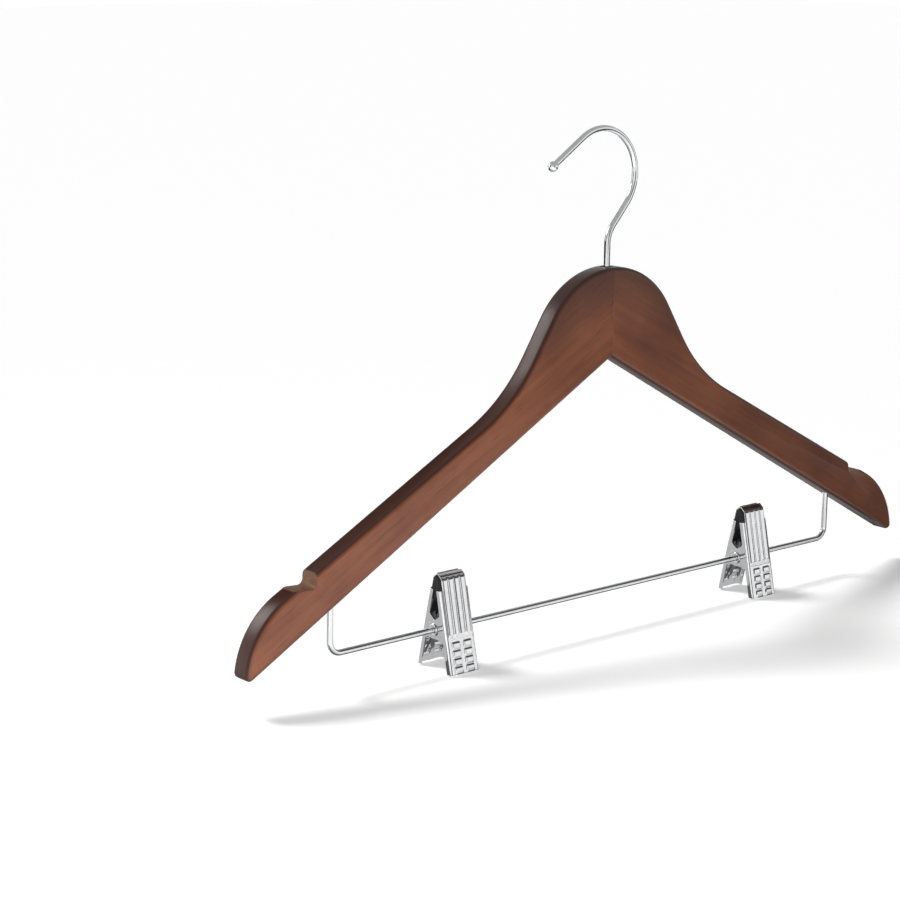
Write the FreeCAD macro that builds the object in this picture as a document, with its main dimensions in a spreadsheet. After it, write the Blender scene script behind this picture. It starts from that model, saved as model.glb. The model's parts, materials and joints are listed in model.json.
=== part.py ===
import FreeCAD, Part
import math
import os

import Sketcher

# Skirt hanger: two wooden arms glued at a centre seam, a swivelling wire hook,
# a wire trouser bar and two sprung clips that slide and turn on the bar.
# X runs along the arms, Y from front to back, Z up.
# The origin is the inside top of the hook on its swivel axis, where a rail carries the hanger.

Vector = FreeCAD.Vector

# Driving sizes in millimetres, angles in degrees
SIZES = {
    # wooden arms
    "arm_reach": 224.0,
    "arm_thickness": 12.0,
    "crown_drop": 66.2,
    "apex_drop": 45.0,
    "crown_radius": 46.5,
    "flank_angle": 58.0,
    "flank_length": 21.0,
    "neck_radius": 90.0,
    "shoulder_angle": 28.3,
    "tip_radius": 42.8,
    "tip_depth": 25.0,
    "edge_round": 2.4,
    "tip_corner_extra": 0.1,
    # shoulder notch
    "notch_reach": 184.0,
    "notch_depth": 7.2,
    "notch_length": 13.0,
    "notch_root_radius": 3.0,
    "notch_lip": 0.7,
    # dowels across the seam
    "dowel_diameter": 5.0,
    "dowel_length": 26.0,
    "dowel_bevel": 0.6,
    "dowel_end_gap": 0.5,
    "upper_dowel_drop": 25.5,
    "lower_dowel_drop": 36.0,
    # hook
    "hook_wire": 3.2,
    "hook_radius": 23.1,
    "hook_offset": 5.4,
    "hook_lean_angle": 41.0,
    "hook_bend_radius": 14.0,
    "hook_tail_angle": 33.6,
    "hook_tail": 23.2,
    "hook_ball": 5.3,
    "hook_head_diameter": 5.2,
    "hook_head": 2.2,
    "head_room": 1.2,
    # bush and washer of the hook
    "bush_diameter": 6.4,
    "bush_length": 12.0,
    "bush_recess": 0.4,
    "washer_diameter": 5.8,
    "washer_thickness": 0.8,
    "hook_running_gap": 0.06,
    # trouser bar
    "bar_wire": 3.0,
    "bar_reach": 172.4,
    "bar_rise": 4.082,
    "bar_bend_radius": 6.0,
    "bar_socket": 14.0,
    # places of the clips along the bar
    "left_clip_place": 100.6,
    "right_clip_place": 110.9,
    # pressed steel jaws of a clip
    "jaw_width": 18.0,
    "jaw_sheet": 0.8,
    "jaw_stand": 9.0,
    "jaw_reach": 24.7,
    "handle_reach": 22.4,
    "jaw_tilt_angle": 12.4,
    "jaw_bend_round": 0.7,
    "lip_length": 3.4,
    "lip_angle": 40.0,
    "wall_depth": 3.1,
    "wall_reach": 19.0,
    "ear_radius": 4.8,
    "ear_side_gap": 0.1,
    # flutes and finger grips on a jaw
    "flute_height": 0.6,
    "flute_low": -5.3,
    "flute_high": 23.4,
    "flute_margin": 0.9,
    "flute_land": 0.5,
    "grip_height": 0.5,
    "grip_length": 5.6,
    "grip_width": 2.1,
    "grip_spacing": 7.2,
    "grip_pitch": 4.0,
    "grip_start": 8.4,
    # rubber pads
    "pad_thickness": 1.9,
    "pad_low": 6.2,
    "pad_contact_low": 17.0,
    "pad_gap": 0.2,
    "pad_side_gap": 0.1,
    # hollow rivet that carries a clip on the bar
    "sleeve_diameter": 4.4,
    "collar_diameter": 6.4,
    "collar_thickness": 0.5,
    "sleeve_running_gap": 0.06,
    "ear_running_gap": 0.05,
    # torsion spring
    "spring_wire": 1.1,
    "spring_radius": 3.3,
    "spring_pitch": 1.75,
    "spring_leg_reach": 16.5,
    "spring_leg_gap": 0.15,
    # cuts run past the faces that they open, and edges are found within the tolerance
    "overrun": 2.0,
    "edge_tolerance": 0.01,
}
FLUTE_COUNT = 4
GRIP_ROWS = 4
SPRING_TURNS = 4
PIECES_PER_TURN = 4
SPRING_SAMPLE_SHARE = 0.3

doc = FreeCAD.newDocument("SkirtHanger")
sheet = doc.addObject("Spreadsheet::Sheet", "Sheet")
for row, (alias, number) in enumerate(SIZES.items(), start=1):
    sheet.set(f"A{row}", alias)
    sheet.set(f"B{row}", str(number))
    sheet.setAlias(f"B{row}", alias)
doc.recompute()


class Size:
    """A size worked out from the sheet: its number, and the expression that a feature is bound to."""

    def __init__(self, number, text):
        self.number = number
        self.text = text

    def __add__(self, other):
        return Size(self.number + as_size(other).number, f"({self.text} + {as_size(other).text})")

    def __sub__(self, other):
        return Size(self.number - as_size(other).number, f"({self.text} - {as_size(other).text})")

    def __mul__(self, other):
        return Size(self.number * as_size(other).number, f"({self.text} * {as_size(other).text})")

    def __truediv__(self, other):
        return Size(self.number / as_size(other).number, f"({self.text} / {as_size(other).text})")

    def __neg__(self):
        return Size(-self.number, f"(-1 * {self.text})")


def as_size(value):
    return value if isinstance(value, Size) else Size(float(value), str(value))


def sized(alias):
    return Size(float(sheet.get(alias)), f"Sheet.{alias}")


def sine(angle):
    return Size(math.sin(math.radians(angle.number)), f"sin({angle.text})")


def cosine(angle):
    return Size(math.cos(math.radians(angle.number)), f"cos({angle.text})")


def tangent(angle):
    return sine(angle) / cosine(angle)


def root(value):
    return Size(math.sqrt(value.number), f"sqrt({value.text})")


ZERO = Size(0.0, "0")


# Levels and radii that several pieces share

def neck_points():
    """Where the crown's arc, the steep flank and the neck's hollow meet one another."""
    flank = sized("flank_angle")
    shoulder = sized("shoulder_angle")
    crown_end = (sized("crown_radius") * sine(flank),
                 crown_level - sized("crown_radius") * (as_size(1) - cosine(flank)))
    hollow_start = (crown_end[0] + sized("flank_length") * cosine(flank),
                    crown_end[1] - sized("flank_length") * sine(flank))
    hollow_end = (hollow_start[0] + sized("neck_radius") * (sine(flank) - sine(shoulder)),
                  hollow_start[1] - sized("neck_radius") * (cosine(shoulder) - cosine(flank)))
    return crown_end, hollow_start, hollow_end


def shoulder_height(reach):
    """Level of the straight shoulder line at a distance from the seam."""
    neck_end = neck_points()[2]
    return neck_end[1] - (reach - neck_end[0]) * tangent(sized("shoulder_angle"))


crown_level = -sized("crown_drop")
tip_level = shoulder_height(sized("arm_reach")) - sized("tip_depth")
apex_level = crown_level - sized("apex_drop")
bar_level = tip_level + sized("bar_rise")
underside_fall = (apex_level - tip_level) / sized("arm_reach")
bar_radius = sized("bar_wire") / 2
hook_radius = sized("hook_wire") / 2
bush_top = crown_level - sized("bush_recess")
bush_bottom = bush_top - sized("bush_length")
washer_bottom = bush_bottom - sized("washer_thickness")
head_bottom = washer_bottom - sized("hook_head")
sleeve_radius = sized("sleeve_diameter") / 2
plate_inside = sized("jaw_stand") - sized("jaw_sheet")
rear_jaw_width = sized("jaw_width") - (sized("jaw_sheet") + sized("ear_side_gap")) * 2


# Sketching and features

def bind(item, **properties):
    """Binds an object's properties to the sheet."""
    for name, size in properties.items():
        item.setExpression(name.replace("__", "."), size.text)


def new_body(label):
    body = doc.addObject("PartDesign::Body", label)
    body.Label = label
    return body


def origin_feature(body, role):
    return next(item for item in body.Origin.OriginFeatures if item.Role == role)


def attach(item, body, role, shift=(ZERO, ZERO, ZERO)):
    """Attaches a sketch or primitive to an origin plane of its body, moved by shift in that plane's axes."""
    item.AttachmentSupport = (origin_feature(body, role), "")
    item.MapMode = "FlatFace"
    item.AttachmentOffset = FreeCAD.Placement(Vector(*(part.number for part in shift)), FreeCAD.Rotation())
    for axis, part in zip("xyz", shift):
        if part is not ZERO:
            item.setExpression(f"AttachmentOffset.Base.{axis}", part.text)


def new_sketch(body, name, role, shift=(ZERO, ZERO, ZERO)):
    sketch = body.newObject("Sketcher::SketchObject", name)
    attach(sketch, body, role, shift)
    return sketch


def pin_point(sketch, geometry, end, point):
    """Holds an end of a line or arc at a point whose coordinates come from the sheet."""
    for kind, axis, size in (("DistanceX", -2, point[0]), ("DistanceY", -1, point[1])):
        if size is ZERO:
            sketch.addConstraint(Sketcher.Constraint("PointOnObject", geometry, end, axis))
        else:
            index = sketch.addConstraint(Sketcher.Constraint(kind, geometry, end, size.number))
            sketch.setExpression(f"Constraints[{index}]", size.text)


def arc_through(start, end, radius):
    """The shorter arc from start to end: it bulges to the left for a positive radius, else to the right."""
    first = Vector(start[0].number, start[1].number, 0)
    last = Vector(end[0].number, end[1].number, 0)
    chord = last - first
    left = Vector(-chord.y, chord.x, 0).normalize()
    side = math.copysign(1, radius.number)
    size = abs(radius.number)
    rise = size - math.sqrt(size ** 2 - (chord.Length / 2) ** 2)
    return Part.Arc(first, first + chord / 2 + left * side * rise, last)


def trace(sketch, points, closed=True):
    """Draws a chain of lines and arcs through points (across, up[, radius of the arc that leaves it])."""
    count = len(points) if closed else len(points) - 1
    first = sketch.GeometryCount
    for place in range(count):
        start = points[place]
        end = points[(place + 1) % len(points)]
        if len(start) == 3:
            index = sketch.addGeometry(arc_through(start, end, start[2]))
            size = start[2] if start[2].number > 0 else -start[2]
            radius = sketch.addConstraint(Sketcher.Constraint("Radius", index, size.number))
            sketch.setExpression(f"Constraints[{radius}]", size.text)
        else:
            ends = (Vector(point[0].number, point[1].number, 0) for point in (start, end))
            index = sketch.addGeometry(Part.LineSegment(*ends))
    tips = [ends_of(sketch, first + place, points[place]) for place in range(count)]
    for place, (head, tail) in enumerate(tips):
        pin_point(sketch, first + place, head, points[place])
        if closed or place + 1 < count:
            following = (place + 1) % count
            joint = (first + place, tail, first + following, tips[following][0])
            sketch.addConstraint(Sketcher.Constraint("Coincident", *joint))
        else:
            pin_point(sketch, first + place, tail, points[place + 1])


def ends_of(sketch, index, start):
    """Which end of a line or arc lies at its start point: arcs always run anticlockwise."""
    begin = sketch.getPoint(index, 1)
    near = math.hypot(begin.x - start[0].number, begin.y - start[1].number)
    end = sketch.getPoint(index, 2)
    far = math.hypot(end.x - start[0].number, end.y - start[1].number)
    return (1, 2) if near <= far else (2, 1)


def disc(sketch, centre, radius):
    middle = Vector(centre[0].number, centre[1].number, 0)
    index = sketch.addGeometry(Part.Circle(middle, Vector(0, 0, 1), radius.number))
    pin_point(sketch, index, 3, centre)
    size = sketch.addConstraint(Sketcher.Constraint("Radius", index, radius.number))
    sketch.setExpression(f"Constraints[{size}]", radius.text)


def extrude(body, kind, name, sketch, length, both_ways=True):
    """Pads or pockets a sketch, evenly to both sides of its plane unless it is told otherwise."""
    feature = body.newObject(f"PartDesign::{kind}", name)
    feature.Profile = sketch
    feature.SideType = "Symmetric" if both_ways else "One side"
    bind(feature, Length=length)
    return feature


def add_cylinder(body, kind, name, role, shift, radius, height):
    cylinder = body.newObject(f"PartDesign::{kind}Cylinder", name)
    attach(cylinder, body, role, shift)
    bind(cylinder, Radius=radius, Height=height)
    return cylinder


def bend_wire(body, points, radius):
    """A round wire along a chain of lines and arcs that starts upright."""
    path = new_sketch(body, f"{body.Name}_path", "XZ_Plane")
    trace(path, points, closed=False)
    section = new_sketch(body, f"{body.Name}_section", "XY_Plane", (ZERO, ZERO, points[0][1]))
    disc(section, (points[0][0], ZERO), radius)
    pipe = body.newObject("PartDesign::AdditivePipe", f"{body.Name}_wire")
    pipe.Profile = section
    pipe.Spine = (path, [f"Edge{number}" for number in range(1, path.GeometryCount + 1)])
    return pipe


def turn(label, points, axis):
    """A turned piece: a profile of (along, out) points spun round the X or the Z axis."""
    body = new_body(label)
    profile = new_sketch(body, f"{label}_profile", "XZ_Plane")
    trace(profile, points if axis == "X" else [(out, along) for along, out in points])
    spin = body.newObject("PartDesign::Revolution", f"{label}_turned")
    spin.Profile = profile
    spin.ReferenceAxis = (origin_feature(body, f"{axis}_Axis"), "")
    return body


def round_edges(body, name, base, radius, wanted):
    """Rounds the edges of a feature whose middle points pass a test."""
    doc.recompute()
    names = []
    for number, edge in enumerate(base.Shape.Edges, start=1):
        middle = edge.valueAt((edge.FirstParameter + edge.LastParameter) / 2)
        if wanted(middle):
            names.append(f"Edge{number}")
    fillet = body.newObject("PartDesign::Fillet", name)
    fillet.Base = (base, names)
    bind(fillet, Radius=radius)
    return fillet


# Wooden arms

def tip_start():
    """Where the shoulder line runs into the arc of the tip, which ends at the tip's corner."""
    shoulder = sized("shoulder_angle")
    reach = sized("arm_reach")
    radius = sized("tip_radius")
    depth = sized("tip_depth")
    below_centre = radius - depth * cosine(shoulder)
    back = root(radius * radius - below_centre * below_centre) - depth * sine(shoulder)
    return (reach - back * cosine(shoulder), shoulder_height(reach) + back * sine(shoulder))


def right_arm():
    body = new_body("right_arm")
    thickness = sized("arm_thickness")
    crown_end, hollow_start, hollow_end = neck_points()
    outline = new_sketch(body, "arm_outline", "XZ_Plane")
    trace(outline, [
        (ZERO, crown_level, sized("crown_radius")),
        crown_end,
        hollow_start + (-sized("neck_radius"),),
        hollow_end,
        tip_start() + (sized("tip_radius"),),
        (sized("arm_reach"), tip_level),
        (ZERO, apex_level),
    ])
    board = extrude(body, "Pad", "arm_board", outline, thickness)
    face = thickness.number / 2
    tip = sized("arm_reach").number
    near = sized("edge_tolerance").number

    def on_tip_corner(middle):
        return abs(middle.x - tip) < near and abs(middle.z - tip_level.number) < near

    def on_rim(middle):
        return abs(abs(middle.y) - face) < near and middle.x > near

    corner_radius = sized("edge_round") + sized("tip_corner_extra")
    cornered = round_edges(body, "tip_corner", board, corner_radius, on_tip_corner)
    round_edges(body, "arm_rounding", cornered, sized("edge_round"), on_rim)
    cut_notch(body)
    hook_bore = bush_top - head_bottom + sized("head_room")
    add_cylinder(body, "Subtractive", "hook_bore", "XY_Plane", (ZERO, ZERO, bush_top - hook_bore),
                 sized("bush_diameter") / 2, hook_bore + sized("overrun") + sized("bush_recess"))
    for name in ("upper", "lower"):
        drop = crown_level - sized(f"{name}_dowel_drop")
        add_cylinder(body, "Subtractive", f"{name}_dowel_hole", "YZ_Plane", (ZERO, drop, ZERO),
                     sized("dowel_diameter") / 2, sized("dowel_length") / 2 + sized("dowel_end_gap"))
    socket_depth = sized("bar_socket") + sized("overrun")
    socket_start = (sized("bar_reach"), ZERO, bar_socket_top() - socket_depth)
    add_cylinder(body, "Subtractive", "bar_socket", "XY_Plane", socket_start, bar_radius, socket_depth)
    return body


def bar_socket_top():
    """The bar's ends stop in the arm, the socket's depth above its underside."""
    return apex_level - sized("bar_reach") * underside_fall + sized("bar_socket")


def cut_notch(body):
    """A round-rooted notch in the shoulder, sawn after the edges are rounded."""
    wall = sized("notch_reach")
    floor = shoulder_height(wall) - sized("notch_depth")
    radius = sized("notch_root_radius")
    above = shoulder_height(wall) + sized("overrun")
    end = wall + sized("notch_length")
    notch = new_sketch(body, "notch_outline", "XZ_Plane")
    trace(notch, [
        (wall, above),
        (wall, floor + radius, -radius),
        (wall + radius, floor),
        (end, floor + sized("notch_lip")),
        (end + sized("notch_depth"), above),
    ])
    extrude(body, "Pocket", "notch", notch, sized("arm_thickness") + sized("overrun") * 2)


def left_arm(other):
    arm = doc.addObject("Part::Mirroring", "left_arm")
    arm.Label = "left_arm"
    arm.Source = other
    arm.Normal = Vector(1, 0, 0)
    return arm


def dowel(name):
    half = sized("dowel_length") / 2
    radius = sized("dowel_diameter") / 2
    bevel = sized("dowel_bevel")
    body = turn(f"{name}_dowel", [
        (-half, ZERO), (-half, radius - bevel), (bevel - half, radius),
        (half - bevel, radius), (half, radius - bevel), (half, ZERO),
    ], "X")
    bind(body, Placement__Base__z=crown_level - sized(f"{name}_dowel_drop"))
    return body


# Hook with its bush and washer

def hook():
    body = new_body("hook")
    lean = sized("hook_lean_angle")
    tail = sized("hook_tail_angle")
    loop = sized("hook_radius")
    bend = sized("hook_bend_radius")
    inside = loop - hook_radius
    offset = sized("hook_offset")
    centre = (-offset, -root(inside * inside - offset * offset))
    loop_start = (centre[0] + loop * cosine(lean), centre[1] - loop * sine(lean))
    loop_top = (centre[0], centre[1] + loop)
    loop_end = (centre[0] - loop * sine(tail), centre[1] + loop * cosine(tail))
    straight = sized("hook_tail")
    tail_end = (loop_end[0] - straight * cosine(tail), loop_end[1] - straight * sine(tail))
    corner = loop_start[1] - loop_start[0] / tangent(lean)
    cut_back = bend * tangent(lean / 2)
    bend_wire(body, [
        (ZERO, washer_bottom),
        (ZERO, corner - cut_back, bend),
        (cut_back * sine(lean), corner + cut_back * cosine(lean)),
        loop_start + (-loop,),
        loop_top + (-loop,),
        loop_end,
        tail_end,
    ], hook_radius)
    ball = body.newObject("PartDesign::AdditiveSphere", "hook_ball_end")
    attach(ball, body, "XZ_Plane", (tail_end[0], tail_end[1], ZERO))
    bind(ball, Radius=sized("hook_ball") / 2)
    add_cylinder(body, "Additive", "hook_head", "XY_Plane", (ZERO, ZERO, head_bottom),
                 sized("hook_head_diameter") / 2, sized("hook_head"))
    return body


def ring(label, bottom, top, bore, outside):
    return turn(label, [(bottom, bore), (bottom, outside), (top, outside), (top, bore)], "Z")


# Trouser bar

def trouser_bar():
    body = new_body("trouser_bar")
    reach = sized("bar_reach")
    bend = sized("bar_bend_radius")
    top = bar_socket_top()
    bend_wire(body, [
        (-reach, top),
        (-reach, bar_level + bend, -bend),
        (bend - reach, bar_level),
        (reach - bend, bar_level, -bend),
        (reach, bar_level + bend),
        (reach, top),
    ], bar_radius)
    return body


# Clips: each piece is drawn with the bar's axis as its X axis and the jaws up

def put_on_bar(body, place, tilt_axis=None):
    """Sets a clip's piece on the bar, leaning by the jaw's tilt."""
    if tilt_axis:
        tilt = sized("jaw_tilt_angle")
        body.Placement = FreeCAD.Placement(Vector(), FreeCAD.Rotation(tilt_axis, tilt.number))
        body.setExpression("Placement.Rotation.Angle", tilt.text)
    bind(body, Placement__Base__x=place, Placement__Base__z=bar_level)


def clip_sleeve(label, place):
    half = sized("jaw_width") / 2 + sized("ear_side_gap")
    end = half + sized("collar_thickness")
    bore = bar_radius + sized("sleeve_running_gap")
    collar = sized("collar_diameter") / 2
    body = turn(label, [
        (-end, bore), (-end, collar), (-half, collar), (-half, sleeve_radius),
        (half, sleeve_radius), (half, collar), (end, collar), (end, bore),
    ], "X")
    put_on_bar(body, place)
    return body


def jaw(label, place, side, width):
    """A pressed channel: plate, turned-in lip, side walls with ears, flutes and finger grips."""
    body = new_body(label)
    face = sized("jaw_stand") * side
    inside = plate_inside * side
    bottom = -sized("handle_reach")
    top = sized("jaw_reach")
    lip = sized("lip_angle")
    length = sized("lip_length")
    sheet_thickness = sized("jaw_sheet")
    lip_out = (face - length * sine(lip) * side, top + length * cosine(lip))
    lip_in = (lip_out[0] - sheet_thickness * cosine(lip) * side, lip_out[1] - sheet_thickness * sine(lip))
    plate = new_sketch(body, f"{label}_plate_outline", "YZ_Plane")
    trace(plate, [(face, bottom), (face, top), lip_out, lip_in, (inside, lip_corner()), (inside, bottom)])
    extrude(body, "Pad", f"{label}_plate", plate, width)
    wall_edge = (sized("jaw_stand") - sized("wall_depth")) * side
    wall_top = sized("wall_reach")
    wall = new_sketch(body, f"{label}_wall_outline", "YZ_Plane")
    trace(wall, [(face, bottom), (face, wall_top), (wall_edge, wall_top), (wall_edge, bottom)])
    extrude(body, "Pad", f"{label}_walls", wall, width)
    ear = sized("ear_radius")
    ears = new_sketch(body, f"{label}_ear_outline", "YZ_Plane")
    trace(ears, [
        (inside, -ear),
        (inside, ear),
        (ZERO, ear, ear * -side),
        (-ear * side, ZERO, ear * -side),
        (ZERO, -ear),
    ])
    extrude(body, "Pad", f"{label}_ears", ears, width)
    far = -(ear + sized("overrun")) * side
    low = bottom - sized("overrun")
    high = (wall_top + lip_corner()) / 2
    channel = new_sketch(body, f"{label}_channel_outline", "YZ_Plane")
    trace(channel, [(inside, low), (inside, high), (far, high), (far, low)])
    extrude(body, "Pocket", f"{label}_channel", channel, width - sheet_thickness * 2)
    hole = new_sketch(body, f"{label}_hole_outline", "YZ_Plane")
    disc(hole, (ZERO, ZERO), sleeve_radius + sized("ear_running_gap"))
    channelled = extrude(body, "Pocket", f"{label}_hole", hole, width + sized("overrun"))
    corner = (width.number / 2, face.number)
    near = sized("edge_tolerance").number

    def on_bend(middle):
        return abs(abs(middle.x) - corner[0]) < near and abs(middle.y - corner[1]) < near

    round_edges(body, f"{label}_bends", channelled, sized("jaw_bend_round"), on_bend)
    emboss_flutes(body, label, side, width)
    emboss_grips(body, label, side)
    put_on_bar(body, place, Vector(side, 0, 0))
    return body


def lip_corner():
    """Level of the inner corner where the lip leaves the plate."""
    return sized("jaw_reach") - sized("jaw_sheet") * tangent(sized("lip_angle") / 2)


def emboss_flutes(body, label, side, width):
    face = sized("jaw_stand") * side
    pitch = (width - sized("flute_margin") * 2) / FLUTE_COUNT
    half = (pitch - sized("flute_land")) / 2
    rise = sized("flute_height")
    radius = (half * half + rise * rise) / (rise * 2)
    middle_of_sheet = face - sized("jaw_sheet") / 2 * side
    flutes = new_sketch(body, f"{label}_flute_outline", "XY_Plane", (ZERO, ZERO, sized("flute_low")))
    for number in range(FLUTE_COUNT):
        centre = pitch * (number - (FLUTE_COUNT - 1) / 2)
        trace(flutes, [
            (centre - half, middle_of_sheet),
            (centre - half, face, radius * side),
            (centre + half, face),
            (centre + half, middle_of_sheet),
        ])
    extrude(body, "Pad", f"{label}_flutes", flutes, sized("flute_high") - sized("flute_low"), both_ways=False)


def emboss_grips(body, label, side):
    middle_of_sheet = (sized("jaw_stand") - sized("jaw_sheet") / 2) * side
    half_length = sized("grip_length") / 2
    half_width = sized("grip_width") / 2
    grips = new_sketch(body, f"{label}_grip_outline", "XZ_Plane", (ZERO, ZERO, -middle_of_sheet))
    for row in range(GRIP_ROWS):
        level = -(sized("grip_start") + sized("grip_pitch") * row)
        for across in (-1, 1):
            centre = sized("grip_spacing") / 2 * across
            trace(grips, [
                (centre - half_length, level - half_width),
                (centre + half_length, level - half_width),
                (centre + half_length, level + half_width),
                (centre - half_length, level + half_width),
            ])
    height = sized("jaw_sheet") / 2 + sized("grip_height")
    bars = extrude(body, "Pad", f"{label}_grips", grips, height, both_ways=False)
    bars.Reversed = side > 0


def pad(label, place, side, width):
    """A rubber lining: thick where the closed jaws meet, thin towards the ears."""
    body = new_body(label)
    tilt = sized("jaw_tilt_angle")
    inside = plate_inside
    lip = sized("lip_angle")
    half_gap = sized("pad_gap") / 2 / cosine(tilt)
    thin = inside - sized("pad_thickness")
    contact = sized("pad_contact_low")
    reach = (inside - half_gap - lip_corner() * tangent(tilt)) / (sine(lip) / cosine(lip) + tangent(tilt))
    crest = lip_corner() + reach
    outline = new_sketch(body, f"{label}_outline", "YZ_Plane")
    trace(outline, [
        (inside * side, sized("pad_low")),
        (inside * side, lip_corner()),
        ((crest * tangent(tilt) + half_gap) * side, crest),
        ((contact * tangent(tilt) + half_gap) * side, contact),
        (thin * side, (contact + sized("pad_low")) / 2),
        (thin * side, sized("pad_low")),
    ])
    channel = width - (sized("jaw_sheet") + sized("pad_side_gap")) * 2
    extrude(body, "Pad", f"{label}_block", outline, channel)
    put_on_bar(body, place, Vector(side, 0, 0))
    return body


# Torsion spring

def biarc(start, start_way, end, end_way):
    """Two arcs in space that leave start along one direction and reach end along another."""
    gap = end - start
    ways = start_way + end_way
    square = 2 * (1 - start_way.dot(end_way))
    across = gap.dot(ways)
    reach = (math.sqrt(across ** 2 + square * gap.dot(gap)) - across) / square
    meeting = (start + end + (start_way - end_way) * reach) / 2
    middle_way = (meeting - start - start_way * reach).normalize()
    return [arc_between(start, start_way, meeting), arc_between(meeting, middle_way, end)]


def arc_between(start, way, end):
    chord = end - start
    inward = (chord - way * chord.dot(way)).normalize()
    radius = chord.dot(chord) / (2 * chord.dot(inward))
    centre = start + inward * radius
    bulge = (start + end) / 2 - centre
    return Part.Arc(start, centre + bulge.normalize() * radius, end)


def clip_spring(label, place):
    """A coil round the sleeve, with straight legs that run down to the inner faces of both handles."""
    wire = sized("spring_wire").number
    radius = sized("spring_radius").number
    pitch = sized("spring_pitch").number
    tilt = math.radians(sized("jaw_tilt_angle").number)
    stand = plate_inside.number - wire / 2 - sized("spring_leg_gap").number
    reach = sized("spring_leg_reach").number
    foot_out = stand * math.cos(tilt) + reach * math.sin(tilt)
    foot_down = reach * math.cos(tilt) - stand * math.sin(tilt)
    far = math.hypot(foot_out, foot_down)
    leg = math.sqrt(far ** 2 - radius ** 2)
    start = math.acos(radius / far) - math.atan2(foot_down, foot_out)
    turning = math.pi - 2 * start + 2 * math.pi * SPRING_TURNS
    climb = pitch / (2 * math.pi)
    slant = math.hypot(radius, climb)

    def point(angle):
        swept = angle - start
        return Vector(climb * (swept - turning / 2), radius * math.cos(angle), radius * math.sin(angle))

    def way(angle):
        return Vector(climb, -radius * math.sin(angle), radius * math.cos(angle)) / slant

    pieces = math.ceil(turning / (2 * math.pi) * PIECES_PER_TURN)
    angles = [start + turning * number / pieces for number in range(pieces + 1)]
    leg_along = leg * slant / radius
    rear_foot = point(start) - way(start) * leg_along
    front_foot = point(angles[-1]) + way(angles[-1]) * leg_along
    edges = [Part.LineSegment(rear_foot, point(start)).toShape()]
    for first, last in zip(angles, angles[1:]):
        edges += [arc.toShape() for arc in biarc(point(first), way(first), point(last), way(last))]
    edges.append(Part.LineSegment(point(angles[-1]), front_foot).toShape())
    path = Part.Wire(edges)
    section = Part.Wire([Part.Circle(rear_foot, way(start), wire / 2).toShape()])
    spring = doc.addObject("Part::Feature", label)
    spring.Label = label
    spring.Shape = path.makePipeShell([section], True, False)
    put_on_bar(spring, place)
    report_spring(label, path, wire, spring.Shape.Volume, pitch)
    return spring


def report_spring(label, path, wire, volume, pitch):
    """Prints the coil's least gap to itself, and its volume against section times length."""
    step = wire * SPRING_SAMPLE_SHARE
    spots = path.discretize(Distance=step)
    apart = math.ceil(pitch * math.pi / step)
    nearest = min(spots[i].distanceToPoint(spots[j])
                  for i in range(len(spots)) for j in range(i + apart, len(spots)))
    ideal = math.pi * wire ** 2 / 4 * path.Length
    print(f"{label}: least gap to itself {nearest - wire:.2f} mm, volume over ideal {volume / ideal:.4f}")


# The whole hanger

def build():
    right = right_arm()
    pieces = [left_arm(right), right, dowel("upper"), dowel("lower"), hook(), trouser_bar()]
    shank_hole = hook_radius + sized("hook_running_gap")
    pieces.append(ring("hook_bush", bush_bottom, bush_top, shank_hole, sized("bush_diameter") / 2))
    pieces.append(ring("hook_washer", washer_bottom, bush_bottom, shank_hole, sized("washer_diameter") / 2))
    for hand, place in (("left", -sized("left_clip_place")), ("right", sized("right_clip_place"))):
        pieces.append(clip_sleeve(f"{hand}_clip_sleeve", place))
        for end, side, width in (("front", -1, sized("jaw_width")), ("rear", 1, rear_jaw_width)):
            pieces.append(jaw(f"{hand}_clip_{end}_jaw", place, side, width))
            pieces.append(pad(f"{hand}_clip_{end}_pad", place, side, width))
        pieces.append(clip_spring(f"{hand}_clip_spring", place))
    return pieces


def check(pieces):
    """Stops if any object failed, or if a piece is empty, broken or more than one solid."""
    for item in doc.Objects:
        if any(state in ("Invalid", "Error") for state in item.State):
            raise RuntimeError(f"{item.Name} failed: {item.State}")
    for piece in pieces:
        shape = piece.Shape
        if shape.isNull() or not shape.isValid() or len(shape.Solids) != 1:
            raise RuntimeError(f"{piece.Label} is not one sound solid")


pieces = build()
doc.recompute()
check(pieces)
os.makedirs("parts", exist_ok=True)
for piece in pieces:
    piece.Shape.exportStep(f"parts/{piece.Label}.step")
print(f"{len(pieces)} pieces written")
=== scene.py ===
"""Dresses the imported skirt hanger: stained arms, chromed wire and pressed clips with rubber linings."""
import json
import logging
from dataclasses import dataclass
from enum import Enum
from math import acos, asin, atan2, ceil, cos, degrees, hypot, pi, radians, sin, sqrt, tan
from typing import Any, Callable, Optional, Sequence

import bmesh
import bpy
from bmesh.types import BMEdge, BMesh, BMFace, BMVert
from bpy.types import Material, NodeSocket, NodeTree, Object, World
from mathutils import Matrix, Vector


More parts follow.
